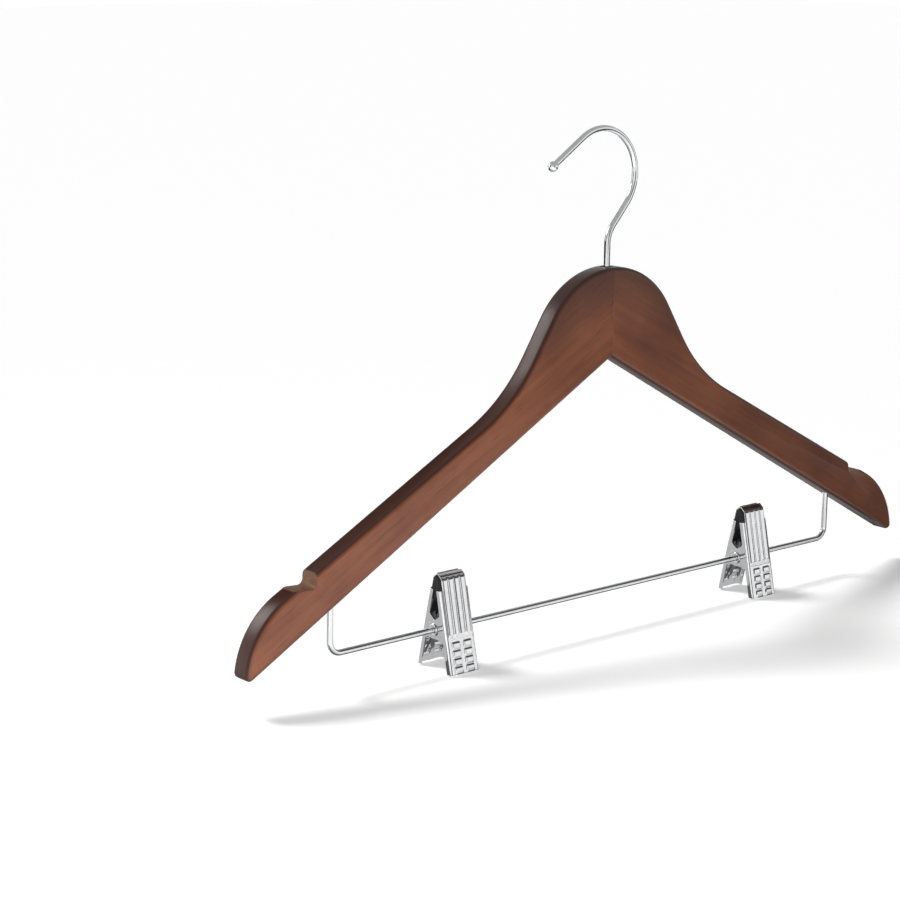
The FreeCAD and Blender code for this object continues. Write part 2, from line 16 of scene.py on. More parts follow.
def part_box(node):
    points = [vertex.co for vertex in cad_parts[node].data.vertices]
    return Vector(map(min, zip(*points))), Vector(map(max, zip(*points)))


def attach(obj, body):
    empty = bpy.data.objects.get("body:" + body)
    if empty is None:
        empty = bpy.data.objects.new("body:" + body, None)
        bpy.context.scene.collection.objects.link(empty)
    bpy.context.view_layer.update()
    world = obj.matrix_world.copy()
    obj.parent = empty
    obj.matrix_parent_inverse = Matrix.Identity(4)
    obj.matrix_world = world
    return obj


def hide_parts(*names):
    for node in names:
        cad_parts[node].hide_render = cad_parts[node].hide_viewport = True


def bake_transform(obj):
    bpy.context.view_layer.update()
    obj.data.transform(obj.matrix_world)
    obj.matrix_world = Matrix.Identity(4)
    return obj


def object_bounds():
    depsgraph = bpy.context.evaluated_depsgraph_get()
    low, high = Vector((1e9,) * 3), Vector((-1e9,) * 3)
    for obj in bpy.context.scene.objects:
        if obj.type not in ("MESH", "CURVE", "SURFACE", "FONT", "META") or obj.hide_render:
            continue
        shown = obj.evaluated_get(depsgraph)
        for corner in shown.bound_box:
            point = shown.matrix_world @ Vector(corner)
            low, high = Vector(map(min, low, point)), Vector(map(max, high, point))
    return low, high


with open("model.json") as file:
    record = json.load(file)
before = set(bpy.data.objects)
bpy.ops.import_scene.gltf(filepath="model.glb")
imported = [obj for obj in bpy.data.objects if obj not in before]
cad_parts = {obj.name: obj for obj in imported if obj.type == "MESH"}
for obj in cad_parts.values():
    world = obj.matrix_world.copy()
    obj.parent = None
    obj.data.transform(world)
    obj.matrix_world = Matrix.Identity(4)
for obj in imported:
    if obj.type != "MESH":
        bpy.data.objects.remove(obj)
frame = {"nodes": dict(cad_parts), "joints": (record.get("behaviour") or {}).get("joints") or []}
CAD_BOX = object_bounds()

log = logging.getLogger("skirt_hanger")

# Every size is written in millimetres and becomes metres with this
MM = 0.001
RIGHT_WAY = Vector((1, 0, 0))
BACK_WAY = Vector((0, 1, 0))
UP_WAY = Vector((0, 0, 1))
MERGE_GAP = 0.002 * MM
# Two directions with a cosine above the first count as the same, and below the second as square to each other
SAME_WAY, SQUARE_WAY = 0.98, 0.15
# Sockets of a Mix node that is set to colours
FACTOR, FIRST, SECOND, RESULT = 0, 6, 7, 2


class Side(Enum):
    """A side of the hanger or of a clip."""

    @property
    def word(self) -> str:
        """The side's name as the nodes write it."""
        return self.name.lower()


class Hand(Side):
    """An end of the hanger, as seen from its front."""

    LEFT = -1
    RIGHT = 1


class Face(Side):
    """A jaw of a clip: the one in front of the bar or the one behind it."""

    FRONT = -1
    REAR = 1


# Materials


def linear(code: str) -> tuple[float, float, float, float]:
    """Turns an sRGB hex colour into the linear one that shaders take.

    Args:
        code: the colour, such as "#7a4a36".

    Returns:
        Red, green, blue and an alpha of 1.
    """
    parts = (int(code[place:place + 2], 16) / 255 for place in (1, 3, 5))
    return (*(p / 12.92 if p <= 0.04045 else ((p + 0.055) / 1.055) ** 2.4 for p in parts), 1.0)


def per_mm(size: float) -> float:
    """The texture scale that makes one cell of a pattern this many millimetres wide."""
    return 1 / (size * MM)


def bare_nodes(owner: Material | World) -> NodeTree:
    """Gives a material or world a tree with no nodes yet."""
    owner.use_nodes = True
    owner.node_tree.nodes.clear()
    return owner.node_tree


def add_node(tree: NodeTree, kind: str, inputs: Optional[dict] = None, out: int | str = 0,
             **settings: Any) -> Optional[NodeSocket]:
    """Adds a shader node.

    Args:
        tree: the material's or world's nodes.
        kind: the node's type without its prefix, such as "TexNoise".
        inputs: sockets by name or number, each with a value or with the socket that feeds it.
        out: the name or number of the socket that is wanted from it.
        **settings: the node's own properties.

    Returns:
        That socket, or nothing for the node at the tree's end.
    """
    node = tree.nodes.new(f"ShaderNode{kind}")
    for name, value in settings.items():
        setattr(node, name, value)
    for name, value in (inputs or {}).items():
        if isinstance(value, NodeSocket):
            tree.links.new(value, node.inputs[name])
        else:
            node.inputs[name].default_value = value
    return node.outputs[out] if node.outputs else None


class Finish:
    """A material that is worked out from where a point lies on the piece."""

    name: str

    def look(self, tree: NodeTree, place: NodeSocket) -> dict[str, Any]:
        """Adds the nodes that give the finish its look.

        Args:
            tree: the material's nodes.
            place: the point, on Object coordinates.

        Returns:
            The shader's sockets by name, each with a value or with the socket that feeds it.
        """
        raise NotImplementedError

    def make(self) -> Material:
        """Makes the material."""
        material = bpy.data.materials.new(self.name)
        tree = bare_nodes(material)
        shader = add_node(tree, "BsdfPrincipled", self.look(tree, add_node(tree, "TexCoord", out="Object")))
        add_node(tree, "OutputMaterial", {"Surface": shader})
        return material


@dataclass(frozen=True)
class StainedBeech(Finish):
    """Beech, planed, wiped with walnut stain and sprayed with satin lacquer.

    The eye sees warm brown with soft clouds, faint streaks and short dark pores. The rims are nearly black: tinted
    spray and painted shade. The crown darkens towards its upper edge: tinted spray and a painted dark reflection.
    """

    name: str
    grain_deg: float
    shift_mm: float
    light: str = "#8f573b"
    dark: str = "#663a2d"
    pore: str = "#3a2018"
    # Dark tint: partly sprayed tint, partly painted shade on the rims and a painted dark reflection on the crown
    toner: str = "#28110b"
    toner_share: float = 0.92
    half_mm: float = 6.0
    toner_mm: float = 0.9
    crown_mm: float = 112.7
    crown_radius_mm: float = 46.5
    # How dark the crown gets at its upper edge: tinted spray and a painted dark reflection
    crown_share: float = 0.62
    cloud_mm: float = 46.0
    streak_mm: float = 3.2
    # Real pores are about a tenth as wide, and are drawn coarser so that they show
    pore_mm: float = 0.75
    streak_stretch: float = 0.045
    pore_stretch: float = 0.07
    roughness: float = 0.3
    specular: float = 0.42
    pore_depth_mm: float = 0.06

    def look(self, tree: NodeTree, place: NodeSocket) -> dict[str, Any]:
        """Lays clouds, streaks and pores along the grain, then spray and painted shade; see Finish.look for Args and
        Returns.
        """
        turned = add_node(tree, "Mapping", {
            "Vector": place, "Location": (self.shift_mm * MM, self.shift_mm * MM, 0),
            "Rotation": (0, radians(self.grain_deg), 0),
        })
        clouds = add_node(tree, "TexNoise", {
            "Vector": turned, "Scale": per_mm(self.cloud_mm), "Detail": 3.0, "Roughness": 0.55,
        })
        long_grain = add_node(tree, "Mapping", {"Vector": turned, "Scale": (self.streak_stretch, 1, 1)})
        streaks = add_node(tree, "TexNoise", {
            "Vector": long_grain, "Scale": per_mm(self.streak_mm), "Detail": 5.0, "Roughness": 0.62, "Distortion": 0.4,
        })
        short_grain = add_node(tree, "Mapping", {"Vector": turned, "Scale": (self.pore_stretch, 1, 1)})
        pores = add_node(tree, "TexNoise", {
            "Vector": short_grain, "Scale": per_mm(self.pore_mm), "Detail": 2.0, "Roughness": 0.5,
        })
        cloudy = add_node(tree, "MapRange", {"Value": clouds, "From Min": 0.34, "From Max": 0.66})
        streaky = add_node(tree, "MapRange", {"Value": streaks, "From Min": 0.3, "From Max": 0.72})
        tone = add_node(tree, "Math", {0: cloudy, 1: streaky}, operation="ADD")
        tone = add_node(tree, "MapRange", {"Value": tone, "From Min": 0.1, "From Max": 1.9})
        fleck = add_node(tree, "MapRange", {"Value": pores, "From Min": 0.6, "From Max": 0.74, "To Max": 0.4})
        colour = linear(self.light)
        # The last two layers are tinted spray mixed with painted shade, over the crown's upper part and along the rims
        for share, over in ((tone, self.dark), (fleck, self.pore), (self.crown_shade(tree, place), self.toner),
                            (self.rim_shade(tree, place), self.toner)):
            colour = add_node(tree, "Mix", {FACTOR: share, FIRST: colour, SECOND: linear(over)}, RESULT,
                              data_type="RGBA")
        gloss = add_node(tree, "MapRange", {
            "Value": streaks, "To Min": self.roughness - 0.05, "To Max": self.roughness + 0.07,
        })
        bump = add_node(tree, "Bump", {
            "Height": fleck, "Strength": 0.35, "Distance": self.pore_depth_mm * MM,
        }, invert=True)
        return {"Base Color": colour, "Roughness": gloss, "Normal": bump, "Specular IOR Level": self.specular}

    def rim_shade(self, tree: NodeTree, place: NodeSocket) -> NodeSocket:
        """Finds how dark the rim between the two faces is: partly tinted spray, partly painted shade.

        Args:
            tree: the material's nodes.
            place: the point, on Object coordinates.

        Returns:
            The socket that gives that share.
        """
        depth = add_node(tree, "Math", {0: add_node(tree, "SeparateXYZ", {0: place}, "Y")}, operation="ABSOLUTE")
        return add_node(tree, "MapRange", {
            "Value": depth, "From Min": (self.half_mm - self.toner_mm) * MM, "From Max": self.half_mm * MM,
            "To Min": self.toner_share, "To Max": 0.0,
        })

    def crown_shade(self, tree: NodeTree, place: NodeSocket) -> NodeSocket:
        """Finds how much the crown's faces darken towards its upper edge: partly tinted spray, partly a painted dark
        reflection.

        Args:
            tree: the material's nodes.
            place: the point, on Object coordinates.

        Returns:
            The socket that gives that share.
        """
        radius = self.crown_radius_mm * MM
        flat = add_node(tree, "Mapping", {
            "Vector": place, "Location": (0, 0, self.crown_mm * MM), "Scale": (1, 0, 1),
        })
        near_edge = add_node(tree, "MapRange", {
            "Value": add_node(tree, "VectorMath", {0: flat}, "Value", operation="LENGTH"),
            "From Min": 0.45 * radius, "From Max": radius, "To Max": self.crown_share,
        }, interpolation_type="SMOOTHSTEP")
        upper = add_node(tree, "MapRange", {
            "Value": add_node(tree, "SeparateXYZ", {0: flat}, "Z"),
            "From Min": -0.2 * radius, "From Max": 0.6 * radius,
        }, interpolation_type="SMOOTHSTEP")
        return add_node(tree, "Math", {0: near_edge, 1: upper}, operation="MULTIPLY")


@dataclass(frozen=True)
class SawnBeech(Finish):
    """Beech sawn across its grain after the stain, left bare under a thin coat.

    The eye sees a paler and duller brown than on the faces, with fine tooth marks from the saw.
    """

    name: str = "Beech, sawn, thin lacquer"
    light: str = "#775642"
    dark: str = "#4c3327"
    saw_mm: float = 0.6
    saw_stretch: float = 0.12
    saw_depth_mm: float = 0.1
    roughness: float = 0.62

    def look(self, tree: NodeTree, place: NodeSocket) -> dict[str, Any]:
        """Draws the tooth marks across the cut; see Finish.look for Args and Returns."""
        marks = add_node(tree, "Mapping", {"Vector": place, "Scale": (1, self.saw_stretch, 1)})
        teeth = add_node(tree, "TexNoise", {
            "Vector": marks, "Scale": per_mm(self.saw_mm), "Detail": 4.0, "Roughness": 0.6,
        })
        worn = add_node(tree, "MapRange", {"Value": teeth, "From Min": 0.32, "From Max": 0.7})
        colour = add_node(tree, "Mix", {
            FACTOR: worn, FIRST: linear(self.light), SECOND: linear(self.dark),
        }, RESULT, data_type="RGBA")
        bump = add_node(tree, "Bump", {"Height": teeth, "Strength": 0.4, "Distance": self.saw_depth_mm * MM})
        return {"Base Color": colour, "Roughness": self.roughness, "Normal": bump}


@dataclass(frozen=True)
class PlatedSteel(Finish):
    """Steel under bright plating, drawn through a die or pressed between tools.

    The eye sees a mirror with a trace of haze, and very fine lines left by the tool that formed it.
    """

    name: str
    bright: str
    dull: str
    cloud_mm: float
    # Real lines lie a few hundredths apart, and are drawn coarser so that they show
    line_mm: float
    roughness: float
    roughness_spread: float
    line_scale: tuple[float, float, float] = (1, 1, 1)
    line_depth_mm: float = 0.02

    def look(self, tree: NodeTree, place: NodeSocket) -> dict[str, Any]:
        """Clouds the mirror with haze and draws the tool's lines; see Finish.look for Args and Returns."""
        haze = add_node(tree, "TexNoise", {
            "Vector": place, "Scale": per_mm(self.cloud_mm), "Detail": 3.0, "Roughness": 0.6,
        })
        along = add_node(tree, "Mapping", {"Vector": place, "Scale": self.line_scale})
        lines = add_node(tree, "TexNoise", {
            "Vector": along, "Scale": per_mm(self.line_mm), "Detail": 3.0, "Roughness": 0.55,
        })
        dulled = add_node(tree, "MapRange", {"Value": haze, "From Min": 0.35, "From Max": 0.7})
        colour = add_node(tree, "Mix", {
            FACTOR: dulled, FIRST: linear(self.bright), SECOND: linear(self.dull),
        }, RESULT, data_type="RGBA")
        gloss = add_node(tree, "MapRange", {
            "Value": lines, "From Min": 0.3, "From Max": 0.7,
            "To Min": self.roughness, "To Max": self.roughness + self.roughness_spread,
        })
        bump = add_node(tree, "Bump", {"Height": lines, "Strength": 0.06, "Distance": self.line_depth_mm * MM})
        return {"Base Color": colour, "Roughness": gloss, "Normal": bump, "Metallic": 1.0}


@dataclass(frozen=True)
class MouldedRubber(Finish):
    """Black rubber, moulded in a spark-eroded tool.

    The eye sees matte black with a fine even grain and a slight grey bloom.
    """

    name: str = "Rubber, moulded, black"
    deep: str = "#0f0f10"
    bloom: str = "#232324"
    # A real eroded grain is about 0.05 mm, and is drawn coarser so that it shows
    grain_mm: float = 0.35
    grain_depth_mm: float = 0.05
    bloom_mm: float = 5.0
    roughness: float = 0.7

    def look(self, tree: NodeTree, place: NodeSocket) -> dict[str, Any]:
        """Lays the bloom over the black and grains it; see Finish.look for Args and Returns."""
        cloud = add_node(tree, "TexNoise", {"Vector": place, "Scale": per_mm(self.bloom_mm), "Detail": 3.0})
        grain = add_node(tree, "TexNoise", {"Vector": place, "Scale": per_mm(self.grain_mm), "Detail": 2.0})
        dusty = add_node(tree, "MapRange", {"Value": cloud, "From Min": 0.4, "From Max": 0.75})
        colour = add_node(tree, "Mix", {
            FACTOR: dusty, FIRST: linear(self.deep), SECOND: linear(self.bloom),
        }, RESULT, data_type="RGBA")
        bump = add_node(tree, "Bump", {"Height": grain, "Strength": 0.3, "Distance": self.grain_depth_mm * MM})
        return {"Base Color": colour, "Roughness": self.roughness, "Normal": bump}


class Finishes:
    """The hanger's materials, each made once."""

    def __init__(self, grain_deg: float) -> None:
        """Makes every material.

        Args:
            grain_deg: how far the arms, and the grain in them, slope down from level.
        """
        wood = "Beech, walnut stain, satin lacquer"
        self.wood = {
            Hand.LEFT: StainedBeech(f"{wood}, left", grain_deg, shift_mm=310.0).make(),
            Hand.RIGHT: StainedBeech(f"{wood}, right", -grain_deg, shift_mm=0.0).make(),
        }
        self.sawn = SawnBeech().make()
        self.wire = PlatedSteel(
            "Steel wire, drawn, chrome plated", "#e9eaeb", "#dfe0e2",
            cloud_mm=9.0, line_mm=0.8, roughness=0.06, roughness_spread=0.05).make()
        self.sheet = PlatedSteel(
            "Steel sheet, pressed, chrome plated", "#ececed", "#e1e2e4",
            cloud_mm=6.0, line_mm=0.5, roughness=0.07, roughness_spread=0.06, line_scale=(1, 1, 0.08)).make()
        self.spring = PlatedSteel(
            "Spring steel wire, drawn and wound", "#a9a9ab", "#7c7c80",
            cloud_mm=3.0, line_mm=0.3, roughness=0.24, roughness_spread=0.14).make()
        self.zinc = PlatedSteel(
            "Steel, turned, zinc plated", "#a8a9a6", "#77786f",
            cloud_mm=2.5, line_mm=0.3, roughness=0.3, roughness_spread=0.15, line_scale=(1, 1, 0.2)).make()
        self.rubber = MouldedRubber().make()


def dress(piece: Object, *materials: Material) -> None:
    """Gives a piece its materials, in the order of its slots."""
    if piece.data.materials:
        piece.data.materials.clear()
    for material in materials:
        piece.data.materials.append(material)


def seat(piece: Object, node: str, body: str) -> None:
    """Puts a piece in the place of a node and on its body, and reports it.

    Args:
        piece: the finished piece.
        node: the node that it stands for.
        body: the body that it moves with.
    """
    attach(piece, body)
    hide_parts(node)
    log.info("%s: %d faces, for %s on %s", piece.name, len(piece.data.polygons), node, body)


# Modelling


def clear_bench() -> None:
    """Leaves nothing selected, so that an operator meets only what is added next."""
    if bpy.context.object and bpy.context.object.mode != "OBJECT":
        bpy.ops.object.mode_set(mode="OBJECT")
    bpy.ops.object.select_all(action="DESELECT")


def pick_up(piece: Object) -> None:
    """Makes a piece the only selected one and the active one."""
    clear_bench()
    piece.select_set(True)
    bpy.context.view_layer.objects.active = piece


def apply_modifier(piece: Object, kind: str, **settings: Any) -> None:
    """Adds a modifier to a piece and applies it.

    Args:
        piece: the piece.
        kind: the modifier's type, such as "SOLIDIFY".
        **settings: the modifier's properties.
    """
    pick_up(piece)
    modifier = piece.modifiers.new(kind.lower(), kind)
    for name, value in settings.items():
        setattr(modifier, name, value)
    bpy.ops.object.modifier_apply(modifier=modifier.name)


def cut_away(piece: Object, cutter: Object) -> None:
    """Cuts one piece out of another and throws the cutter away."""
    apply_modifier(piece, "BOOLEAN", operation="DIFFERENCE", solver="EXACT", object=cutter)
    bpy.data.objects.remove(cutter)


def put_in_place(piece: Object, place: Matrix) -> None:
    """Moves a piece and puts its new place into its mesh."""
    pick_up(piece)
    piece.matrix_world = place
    bpy.ops.object.transform_apply(location=True, rotation=True, scale=True)


class Workpiece:
    """A mesh that is being shaped in edit mode."""

    def __init__(self, piece: Object) -> None:
        """Opens a piece for shaping, with all of it selected.

        Args:
            piece: the piece, whose place goes into its mesh.
        """
        self.piece = piece
        pick_up(piece)
        bpy.ops.object.transform_apply(location=True, rotation=True, scale=True)
        bpy.ops.object.mode_set(mode="EDIT")
        bpy.ops.mesh.select_all(action="SELECT")

    @classmethod
    def prism(cls, name: str, outline: Sequence[Vector], depth: Vector) -> "Workpiece":
        """Starts a prism from a filled ring.

        Args:
            name: the piece's name.
            outline: the corners of its first end, in order.
            depth: the way from that end to the other.

        Returns:
            The open workpiece.
        """
        clear_bench()
        bpy.ops.mesh.primitive_circle_add(vertices=len(outline), fill_type="NGON")
        work = cls(named(name))
        for vertex, place in zip(work.mesh().verts, outline):
            vertex.co = place
        work.extrude(depth)
        return work

    def mesh(self) -> BMesh:
        """The mesh as it stands in edit mode."""
        return bmesh.from_edit_mesh(self.piece.data)

    def select(self, kind: str, wanted: Callable[[Any], bool]) -> None:
        """Selects what passes a test, and nothing else.

        Args:
            kind: "VERT", "EDGE" or "FACE".
            wanted: the test, given one vertex, edge or face.
        """
        bpy.ops.mesh.select_mode(type=kind)
        bpy.ops.mesh.select_all(action="DESELECT")
        mesh = self.mesh()
        for item in {"VERT": mesh.verts, "EDGE": mesh.edges, "FACE": mesh.faces}[kind]:
            if wanted(item):
                item.select_set(True)
        if kind == "VERT":
            mesh.select_flush(True)
        bmesh.update_edit_mesh(self.piece.data)

    def extrude(self, way: Vector) -> None:
        """Pulls new faces out of what is selected."""
        bpy.ops.mesh.extrude_region_move(TRANSFORM_OT_translate={"value": way})

    def spin(self, angle: float, centre: Vector, axis: Vector, steps: int) -> None:
        """Sweeps what is selected round an axis, by the right-hand rule."""
        bpy.ops.mesh.spin(steps=steps, angle=-angle, center=centre, axis=axis)

    def bevel(self, width: float, segments: int) -> None:
        """Rounds the selected edges."""
        bpy.ops.mesh.bevel(offset=width, segments=segments, profile=0.5, affect="EDGES", clamp_overlap=True)

    def reshape(self, rule: Callable[[Vector], Vector]) -> None:
        """Moves every vertex to where a rule puts it."""
        for vertex in self.mesh().verts:
            vertex.co = rule(vertex.co)
        bmesh.update_edit_mesh(self.piece.data)

    def close(self, smooth_deg: float = 35.0) -> Object:
        """Merges doubles, turns the faces outwards and smooths the shading.

        Args:
            smooth_deg: edges that turn by more than this stay sharp.

        Returns:
            The piece, back in object mode.
        """
        bpy.ops.mesh.select_mode(type="VERT")
        bpy.ops.mesh.select_all(action="SELECT")
        bpy.ops.mesh.remove_doubles(threshold=MERGE_GAP)
        bpy.ops.mesh.normals_make_consistent(inside=False)
        bpy.ops.object.mode_set(mode="OBJECT")
        bpy.ops.object.shade_smooth_by_angle(angle=radians(smooth_deg))
        return self.piece


def named(name: str) -> Object:
    """Names the primitive that was just added, and its mesh."""
    piece = bpy.context.object
    piece.name = name
    piece.data.name = name
    return piece


class WireWork(Workpiece):
    """A round wire that is run straight, bent and swelled from its free end."""

    def __init__(self, name: str, radius: float, start: Vector, way: Vector, sides: int = 28) -> None:
        """Starts a wire with an open ring.

        Args:
            name: the piece's name.
            radius: the ring's radius.
            start: where the wire begins.
            way: the direction in which it leaves.
            sides: the ring's corners.
        """
        clear_bench()
        turn = way.to_track_quat("Z", "Y").to_euler()
        bpy.ops.mesh.primitive_circle_add(vertices=sides, radius=radius, location=start, rotation=turn)
        super().__init__(named(name))
        self.start = start.copy()
        self.start_radius = radius
        self.start_way = way.normalized()
        self.end = start.copy()
        self.way = way.normalized()
        self.radius = radius

    def run(self, length: float) -> None:
        """Runs the wire straight on."""
        self.extrude(self.way * length)
        self.end += self.way * length

    def swell(self, length: float, radius: float) -> None:
        """Runs the wire on while its radius changes."""
        self.run(length)
        bpy.ops.transform.resize(value=(radius / self.radius,) * 3, center_override=self.end)
        self.radius = radius

    def bend(self, angle: float, radius: float, towards: Vector, step_deg: float = 5.0) -> None:
        """Bends the wire.

        Args:
            angle: how far it turns.
            radius: of the bend, at the wire's middle.
            towards: the side that it bends to.
            step_deg: the turn between two rings.
        """
        centre = self.end + towards.normalized() * radius
        axis = self.way.cross(towards).normalized()
        self.spin(angle, centre, axis, ceil(degrees(angle) / step_deg))
        turn = Matrix.Rotation(angle, 3, axis)
        self.end = centre + turn @ (self.end - centre)
        self.way = turn @ self.way

    def at_start(self, vertex: BMVert) -> bool:
        """Whether a vertex belongs to the ring that the wire began with."""
        offset = vertex.co - self.start
        return offset.length < self.start_radius + MERGE_GAP and abs(offset.dot(self.start_way)) < MERGE_GAP

    def cap(self) -> None:
        """Fills both ends, the free one first."""
        bpy.ops.mesh.edge_face_add()
        self.select("VERT", self.at_start)
        bpy.ops.mesh.edge_face_add()


def drill(piece: Object, radius: float, start: Vector, way: Vector) -> None:
    """Drills a round hole into a piece.

    Args:
        piece: the piece.
        radius: the hole's radius.
        start: where the drill begins.
        way: how far it goes, and in which direction.
    """
    bit = WireWork("drill", radius, start, way, sides=32)
    bit.run(way.length)
    bit.cap()
    cut_away(piece, bit.close())


# Wooden arms


def arc(centre: Vector, radius: float, start_deg: float, end_deg: float, step_deg: float = 2.5) -> list[Vector]:
    """Points of an arc in the hanger's plane, with angles from upright and clockwise as seen from the front.

    Args:
        centre: its centre.
        radius: its radius.
        start_deg: the angle of its first point.
        end_deg: the angle of its last point.
        step_deg: the most between two points.

    Returns:
        The points, both ends among them.
    """
    count = ceil(abs(end_deg - start_deg) / step_deg)
    angles = (radians(start_deg + (end_deg - start_deg) * place / count) for place in range(count + 1))
    return [centre + Vector((sin(a), 0, cos(a))) * radius for a in angles]


@dataclass
class WoodenArms:
    """The two arms of the hanger, glued at an upright seam under the hook."""

    finishes: Finishes
    reach: float = 224.0
    thickness: float = 12.0
    crown_drop: float = 66.2
    apex_drop: float = 45.0
    crown_radius: float = 46.5
    flank_deg: float = 58.0
    flank_length: float = 21.0
    neck_radius: float = 90.0
    shoulder_deg: float = 28.3
    tip_radius: float = 42.8
    tip_depth: float = 25.0
    edge_round: float = 2.4
    corner_radius: float = 2.5
    seam_bevel: float = 0.07
    notch_reach: float = 184.0
    notch_depth: float = 7.2
    notch_length: float = 13.0
    notch_root_radius: float = 3.0
    notch_lip: float = 0.7
    notch_wear: float = 0.3
    bore_diameter: float = 6.4
    bore_bottom: float = 82.8
    bar_reach: float = 172.4
    bar_hole: float = 3.1
    bar_socket: float = 14.0
    overrun: float = 3.0

    def __post_init__(self) -> None:
        """Works out where the upper edge's arcs and lines meet, and the slope of the underside."""
        crown = Vector((0, 0, -self.crown_drop))
        self.crown_centre = crown - UP_WAY * self.crown_radius
        flank = radians(self.flank_deg)
        shoulder = radians(self.shoulder_deg)
        flank_normal = Vector((sin(flank), 0, cos(flank)))
        flank_way = Vector((cos(flank), 0, -sin(flank)))
        hollow = self.crown_centre + flank_normal * self.crown_radius + flank_way * self.flank_length
        self.neck_centre = hollow + flank_normal * self.neck_radius
        self.shoulder_normal = Vector((sin(shoulder), 0, cos(shoulder)))
        self.neck_end = self.neck_centre - self.shoulder_normal * self.neck_radius
        self.apex = crown - UP_WAY * self.apex_drop
        tip = Vector((self.reach, 0, self.shoulder_level(self.reach) - self.tip_depth))
        self.under_way = (tip - self.apex).normalized()
        self.under_normal = Vector((-self.under_way.z, 0, self.under_way.x))

    def shoulder_level(self, reach: float) -> float:
        """Height of the straight shoulder line at a distance from the seam."""
        return self.neck_end.z - (reach - self.neck_end.x) * tan(radians(self.shoulder_deg))

    def outline(self) -> list[Vector]:
        """Draws the right arm's outline.

        Returns:
            Its corners in millimetres, clockwise from the crown's top.
        """
        shoulder = radians(self.shoulder_deg)
        inner = self.tip_radius - self.tip_depth * cos(shoulder)
        back = sqrt(self.tip_radius ** 2 - inner ** 2) - self.tip_depth * sin(shoulder)
        start = Vector((self.reach - back * cos(shoulder), 0, 0))
        start.z = self.shoulder_level(start.x)
        tip_centre = start - self.shoulder_normal * self.tip_radius
        lifted = self.apex + self.under_normal * self.corner_radius - tip_centre
        across = lifted.dot(self.under_way)
        along = sqrt(across ** 2 - lifted.length_squared + (self.tip_radius - self.corner_radius) ** 2) - across
        corner = tip_centre + lifted + self.under_way * along
        toward = corner - tip_centre
        turn = degrees(atan2(toward.x, toward.z))
        under_deg = degrees(atan2(-self.under_normal.x, -self.under_normal.z)) % 360
        return (arc(self.crown_centre, self.crown_radius, 0, self.flank_deg)
                + arc(self.neck_centre, self.neck_radius, self.flank_deg + 180, self.shoulder_deg + 180, step_deg=2.0)
                + arc(tip_centre, self.tip_radius, self.shoulder_deg, turn)[:-1]
                + arc(corner, self.corner_radius, turn, under_deg, step_deg=12.0)
                + [self.apex])

    def board(self) -> Object:
        """Makes the right arm before its cuts: a board with rounded rims and a fine groove along the seam.

        Returns:
            The board.
        """
        half = self.thickness / 2
        corners = [(point - BACK_WAY * half) * MM for point in self.outline()]
        work = Workpiece.prism("right_arm_wood", corners, BACK_WAY * self.thickness * MM)

        def on_seam(edge: BMEdge) -> bool:
            """Whether an edge lies where the arms meet."""
            return all(abs(vertex.co.x) < MERGE_GAP for vertex in edge.verts)

        def on_rim(edge: BMEdge) -> bool:
            """Whether an edge runs round a face of the board, the seam left out."""
            first, last = edge.verts
            return abs(first.co.y - last.co.y) < MERGE_GAP and not on_seam(edge)

        work.select("EDGE", on_rim)
        work.bevel(self.edge_round * MM, segments=7)
        work.select("EDGE", on_seam)
        work.bevel(self.seam_bevel * MM, segments=1)
        return work.close()

    def notch_floor(self, reach: float) -> float:
        """Height of the notch's floor at a distance from the seam."""
        share = (reach - self.notch_reach - self.notch_root_radius) / (self.notch_length - self.notch_root_radius)
        return self.shoulder_level(self.notch_reach) - self.notch_depth + self.notch_lip * max(0.0, share)

    def notch_cutter(self) -> Object:
        """Makes a block of the notch's shape, with its round root.

        Returns:
            The block.
        """
        wall = self.notch_reach
        radius = self.notch_root_radius
        end = wall + self.notch_length
        above = self.shoulder_level(wall) + self.overrun
        root = Vector((wall + radius, 0, self.notch_floor(wall) + radius))
        outline = [Vector((wall, 0, above))]
        outline += arc(root, radius, 270, 180, step_deg=10.0)
        outline += [Vector((end, 0, self.notch_floor(end))), Vector((end + self.notch_depth, 0, above))]
        half = self.thickness / 2 + self.overrun
        corners = [(point - BACK_WAY * half) * MM for point in outline]
        return Workpiece.prism("notch_cutter", corners, BACK_WAY * half * 2 * MM).close()

    def in_notch(self, face: BMFace) -> bool:
        """Tells the faces that the notch's cut made.

        Args:
            face: a face of the arm.

        Returns:
            Whether it is one of them.
        """
        place = face.calc_center_median() / MM
        slack = self.notch_wear / 2
        inside = self.notch_reach - slack < place.x < self.notch_reach + self.notch_length + slack
        upright = abs(face.normal.y) < SQUARE_WAY
        low = place.z > self.notch_floor(place.x) - slack
        on_wall = abs(place.x - self.notch_reach) < slack
        near_floor = place.z < self.notch_floor(place.x) + self.notch_root_radius
        return inside and upright and low and (on_wall or near_floor)

    def wear_notch(self, piece: Object) -> None:
        """Softens the notch's edges and gives its faces the second material.

        Args:
            piece: the arm.
        """
        work = Workpiece(piece)
        work.select("EDGE", lambda edge: sum(self.in_notch(face) for face in edge.link_faces) == 1)
        work.bevel(self.notch_wear * MM, segments=2)
        for face in work.mesh().faces:
            face.material_index = int(self.in_notch(face))
        work.close()

